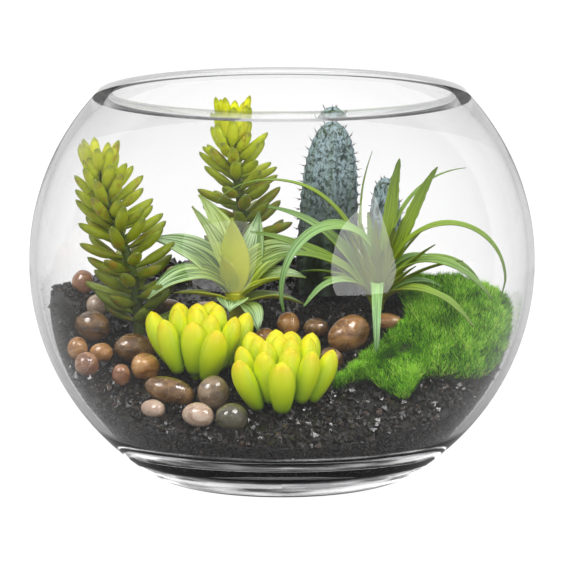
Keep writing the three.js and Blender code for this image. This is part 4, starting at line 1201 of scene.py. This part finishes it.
def build_lights():
    for name, look in CARDS.items():
        reflected_card(name, *look)
    for name, look in SOFTBOXES.items():
        softbox(name, *look)


# How bright the studio is round the bowl, from straight behind it (0) to the front (1). What the glass
# mirrors once is dark in front, where the photographer stands, and overhead. The contents, and light that
# has met the glass three times or more, see a brighter room with two small lamps.
TABLE_MIRRORED = (
    (0.0, 0.18), (0.07, 0.18), (0.11, 0.62), (0.2, 0.5), (0.3, 0.26), (0.5, 0.13), (0.7, 0.06), (1.0, 0.04),
)
WALLS_MIRRORED = ((0.0, 0.75), (0.2, 0.55), (0.3, 0.3), (0.5, 0.16), (0.7, 0.08), (1.0, 0.08))
ROOM = ((0.0, 0.7), (0.5, 0.55), (1.0, 0.35))
OVERHEAD = ((0.25, 0.0), (0.45, 1.0))  # by the height of the direction
# What the outside and the inside of the wall mirror overhead, and what the contents see there.
DARK_TOP, RIM_TOP, BRIGHT_TOP = 0.08, 0.6, 0.95
GLINT = 0.85  # what light that was mirrored twice or more sees
LAMPS, LAMP_EDGE, LAMP_GLOW = ((-0.45, -0.45, 0.77), (0.5, -0.35, 0.79)), ((0.965, 0.0), (0.975, 1.0)), 14.0
# Painted glow: bright rings painted into the table's light close round the bowl, which only mirrored light
# sees and the foot of the glass shows as bright streaks, by the distance from the bowl's middle in tenths of
# a metre.
BASE_GLOW_RINGS = (
    (0.49, 0.0), (0.52, 0.7), (0.57, 0.5), (0.59, 0.0), (0.65, 0.0), (0.665, 0.8), (0.685, 0.8), (0.70, 0.0),
    (0.722, 0.0), (0.731, 1.0), (0.74, 0.0),
)
BASE_GLOW, BASE_GLOW_SHARE = 6.0, 0.9
FLOOR_REACH, FLOOR_SIDES, FLOOR_DROP = 6.0, 64, 0.0003


def grey(level):
    return (level, level, level, 1)


class StudioShader(Shader):
    """The nodes that the world and the table share."""

    def __init__(self, tree):
        self.tree = tree
        self.rays = self.node("LightPath").outputs

    def surroundings(self, place, levels):
        """The studio's brightness in the direction of a place from the bowl."""
        axes = self.node("SeparateXYZ", {0: place}).outputs
        angle = self.math("ARCTAN2", self.math("ABSOLUTE", axes["X"]), axes["Y"])
        return self.ramp(self.math("DIVIDE", angle, math.pi), *levels)

    def fewer(self, count, *kinds):
        """1 for light that has met fewer bounces of some kinds than a count on its way, else 0."""
        met = self.rays[kinds[0] + " Depth"]
        for kind in kinds[1:]:
            met = self.math("ADD", met, self.rays[kind + " Depth"])
        return self.math("LESS_THAN", met, count - 0.5)

    def choose(self, room, mirrored, straight):
        """The room for light from the contents, what the glass mirrors, or what shows straight through."""
        by_glass = self.times(self.fewer(3, "Transmission"), self.fewer(1, "Diffuse"))
        seen = self.blend(by_glass, room, mirrored)
        return self.blend(self.fewer(1, "Glossy", "Diffuse"), seen, straight)


def build_world():
    world = bpy.data.worlds.new("studio")
    bpy.context.scene.world = world
    world.use_nodes = True
    s = StudioShader(world.node_tree)
    way = s.node("TexCoord").outputs["Generated"]
    high = s.ramp(s.node("SeparateXYZ", {0: way}).outputs["Z"], *OVERHEAD)
    top = s.blend(s.fewer(1, "Transmission"), grey(RIM_TOP), grey(DARK_TOP))
    mirrored = s.blend(high, s.surroundings(way, WALLS_MIRRORED), top)
    mirrored = s.blend(s.fewer(2, "Glossy"), grey(GLINT), mirrored)
    room = s.blend(high, s.surroundings(way, ROOM), grey(BRIGHT_TOP))
    for lamp in LAMPS:
        near = s.node("VectorMath", {0: way, 1: lamp}, operation="DOT_PRODUCT").outputs["Value"]
        lit = s.times(s.ramp(near, *LAMP_EDGE), s.fewer(1, "Diffuse"))
        room = s.blend(lit, room, grey(LAMP_GLOW))
    colour = s.choose(room, mirrored, grey(1))
    s.feed(world.node_tree.nodes["Background"].inputs["Color"], colour)


def build_floor():
    """A pale table top that glows, with rings of painted glow close round the bowl that show only in what the
    glass mirrors.
    """
    turns = 2 * np.pi * np.arange(FLOOR_SIDES) / FLOOR_SIDES
    mesh = bpy.data.meshes.new("floor")
    mesh.from_pydata(around(FLOOR_REACH, turns, 0).tolist(), [], [list(range(FLOOR_SIDES))])
    base = Shader("floor_white", Base_Color=grey(0.12), Roughness=0.9, Specular_IOR_Level=0.0)
    s = StudioShader(base.tree)
    place = s.node("TexCoord").outputs["Object"]
    mirrored = s.blend(s.fewer(2, "Glossy"), grey(GLINT), s.surroundings(place, TABLE_MIRRORED))
    away = s.node("VectorMath", {0: place}, operation="LENGTH").outputs["Value"]
    # painted glow: rings of light on the table, broken into smears, that the foot of the glass mirrors as
    # bright streaks
    bands = s.ramp(s.times(away, 10), *BASE_GLOW_RINGS)
    axes = s.node("SeparateXYZ", {0: place}).outputs
    polar = {0: s.math("ARCTAN2", axes["X"], axes["Y"]), 1: s.times(away, 160)}
    smears = s.noise(2.2, detail=4, vector=s.node("CombineXYZ", polar).outputs[0])
    broken = s.times(bands, s.ramp(smears, (0.4, 0.15), (0.62, 1.0)))
    glow = s.times(broken, s.fewer(1, "Transmission", "Diffuse"))
    mirrored = s.blend(s.times(glow, BASE_GLOW_SHARE), mirrored, grey(BASE_GLOW))
    colour = s.choose(s.surroundings(place, ROOM), mirrored, grey(1))
    base.set(Emission_Strength=1.0, Emission_Color=colour)
    mesh.materials.append(base.material)
    floor = add_object("floor", mesh)
    floor.location = (0, 0, -FLOOR_DROP)


def build_each(build, specs, *shades):
    for name, spec in specs.items():
        build(name, spec, *shades)


def build_part():
    build_bowl()
    build_bed()
    build_moss()
    build_pebbles()
    build_each(build_stonecrop, STONECROPS, stonecrop_shader(), stem_shader())
    build_each(build_rosette, ROSETTES, rosette_shader())
    build_each(build_cactus, CACTI, cactus_shader(), spine_shader())
    build_star()
    build_air()


build_camera()
build_lights()
build_world()
build_floor()
build_part()

scene = bpy.context.scene
scene.view_settings.view_transform = "Standard"
scene.cycles.max_bounces = 16
scene.cycles.transmission_bounces = 14
scene.cycles.transparent_max_bounces = 16
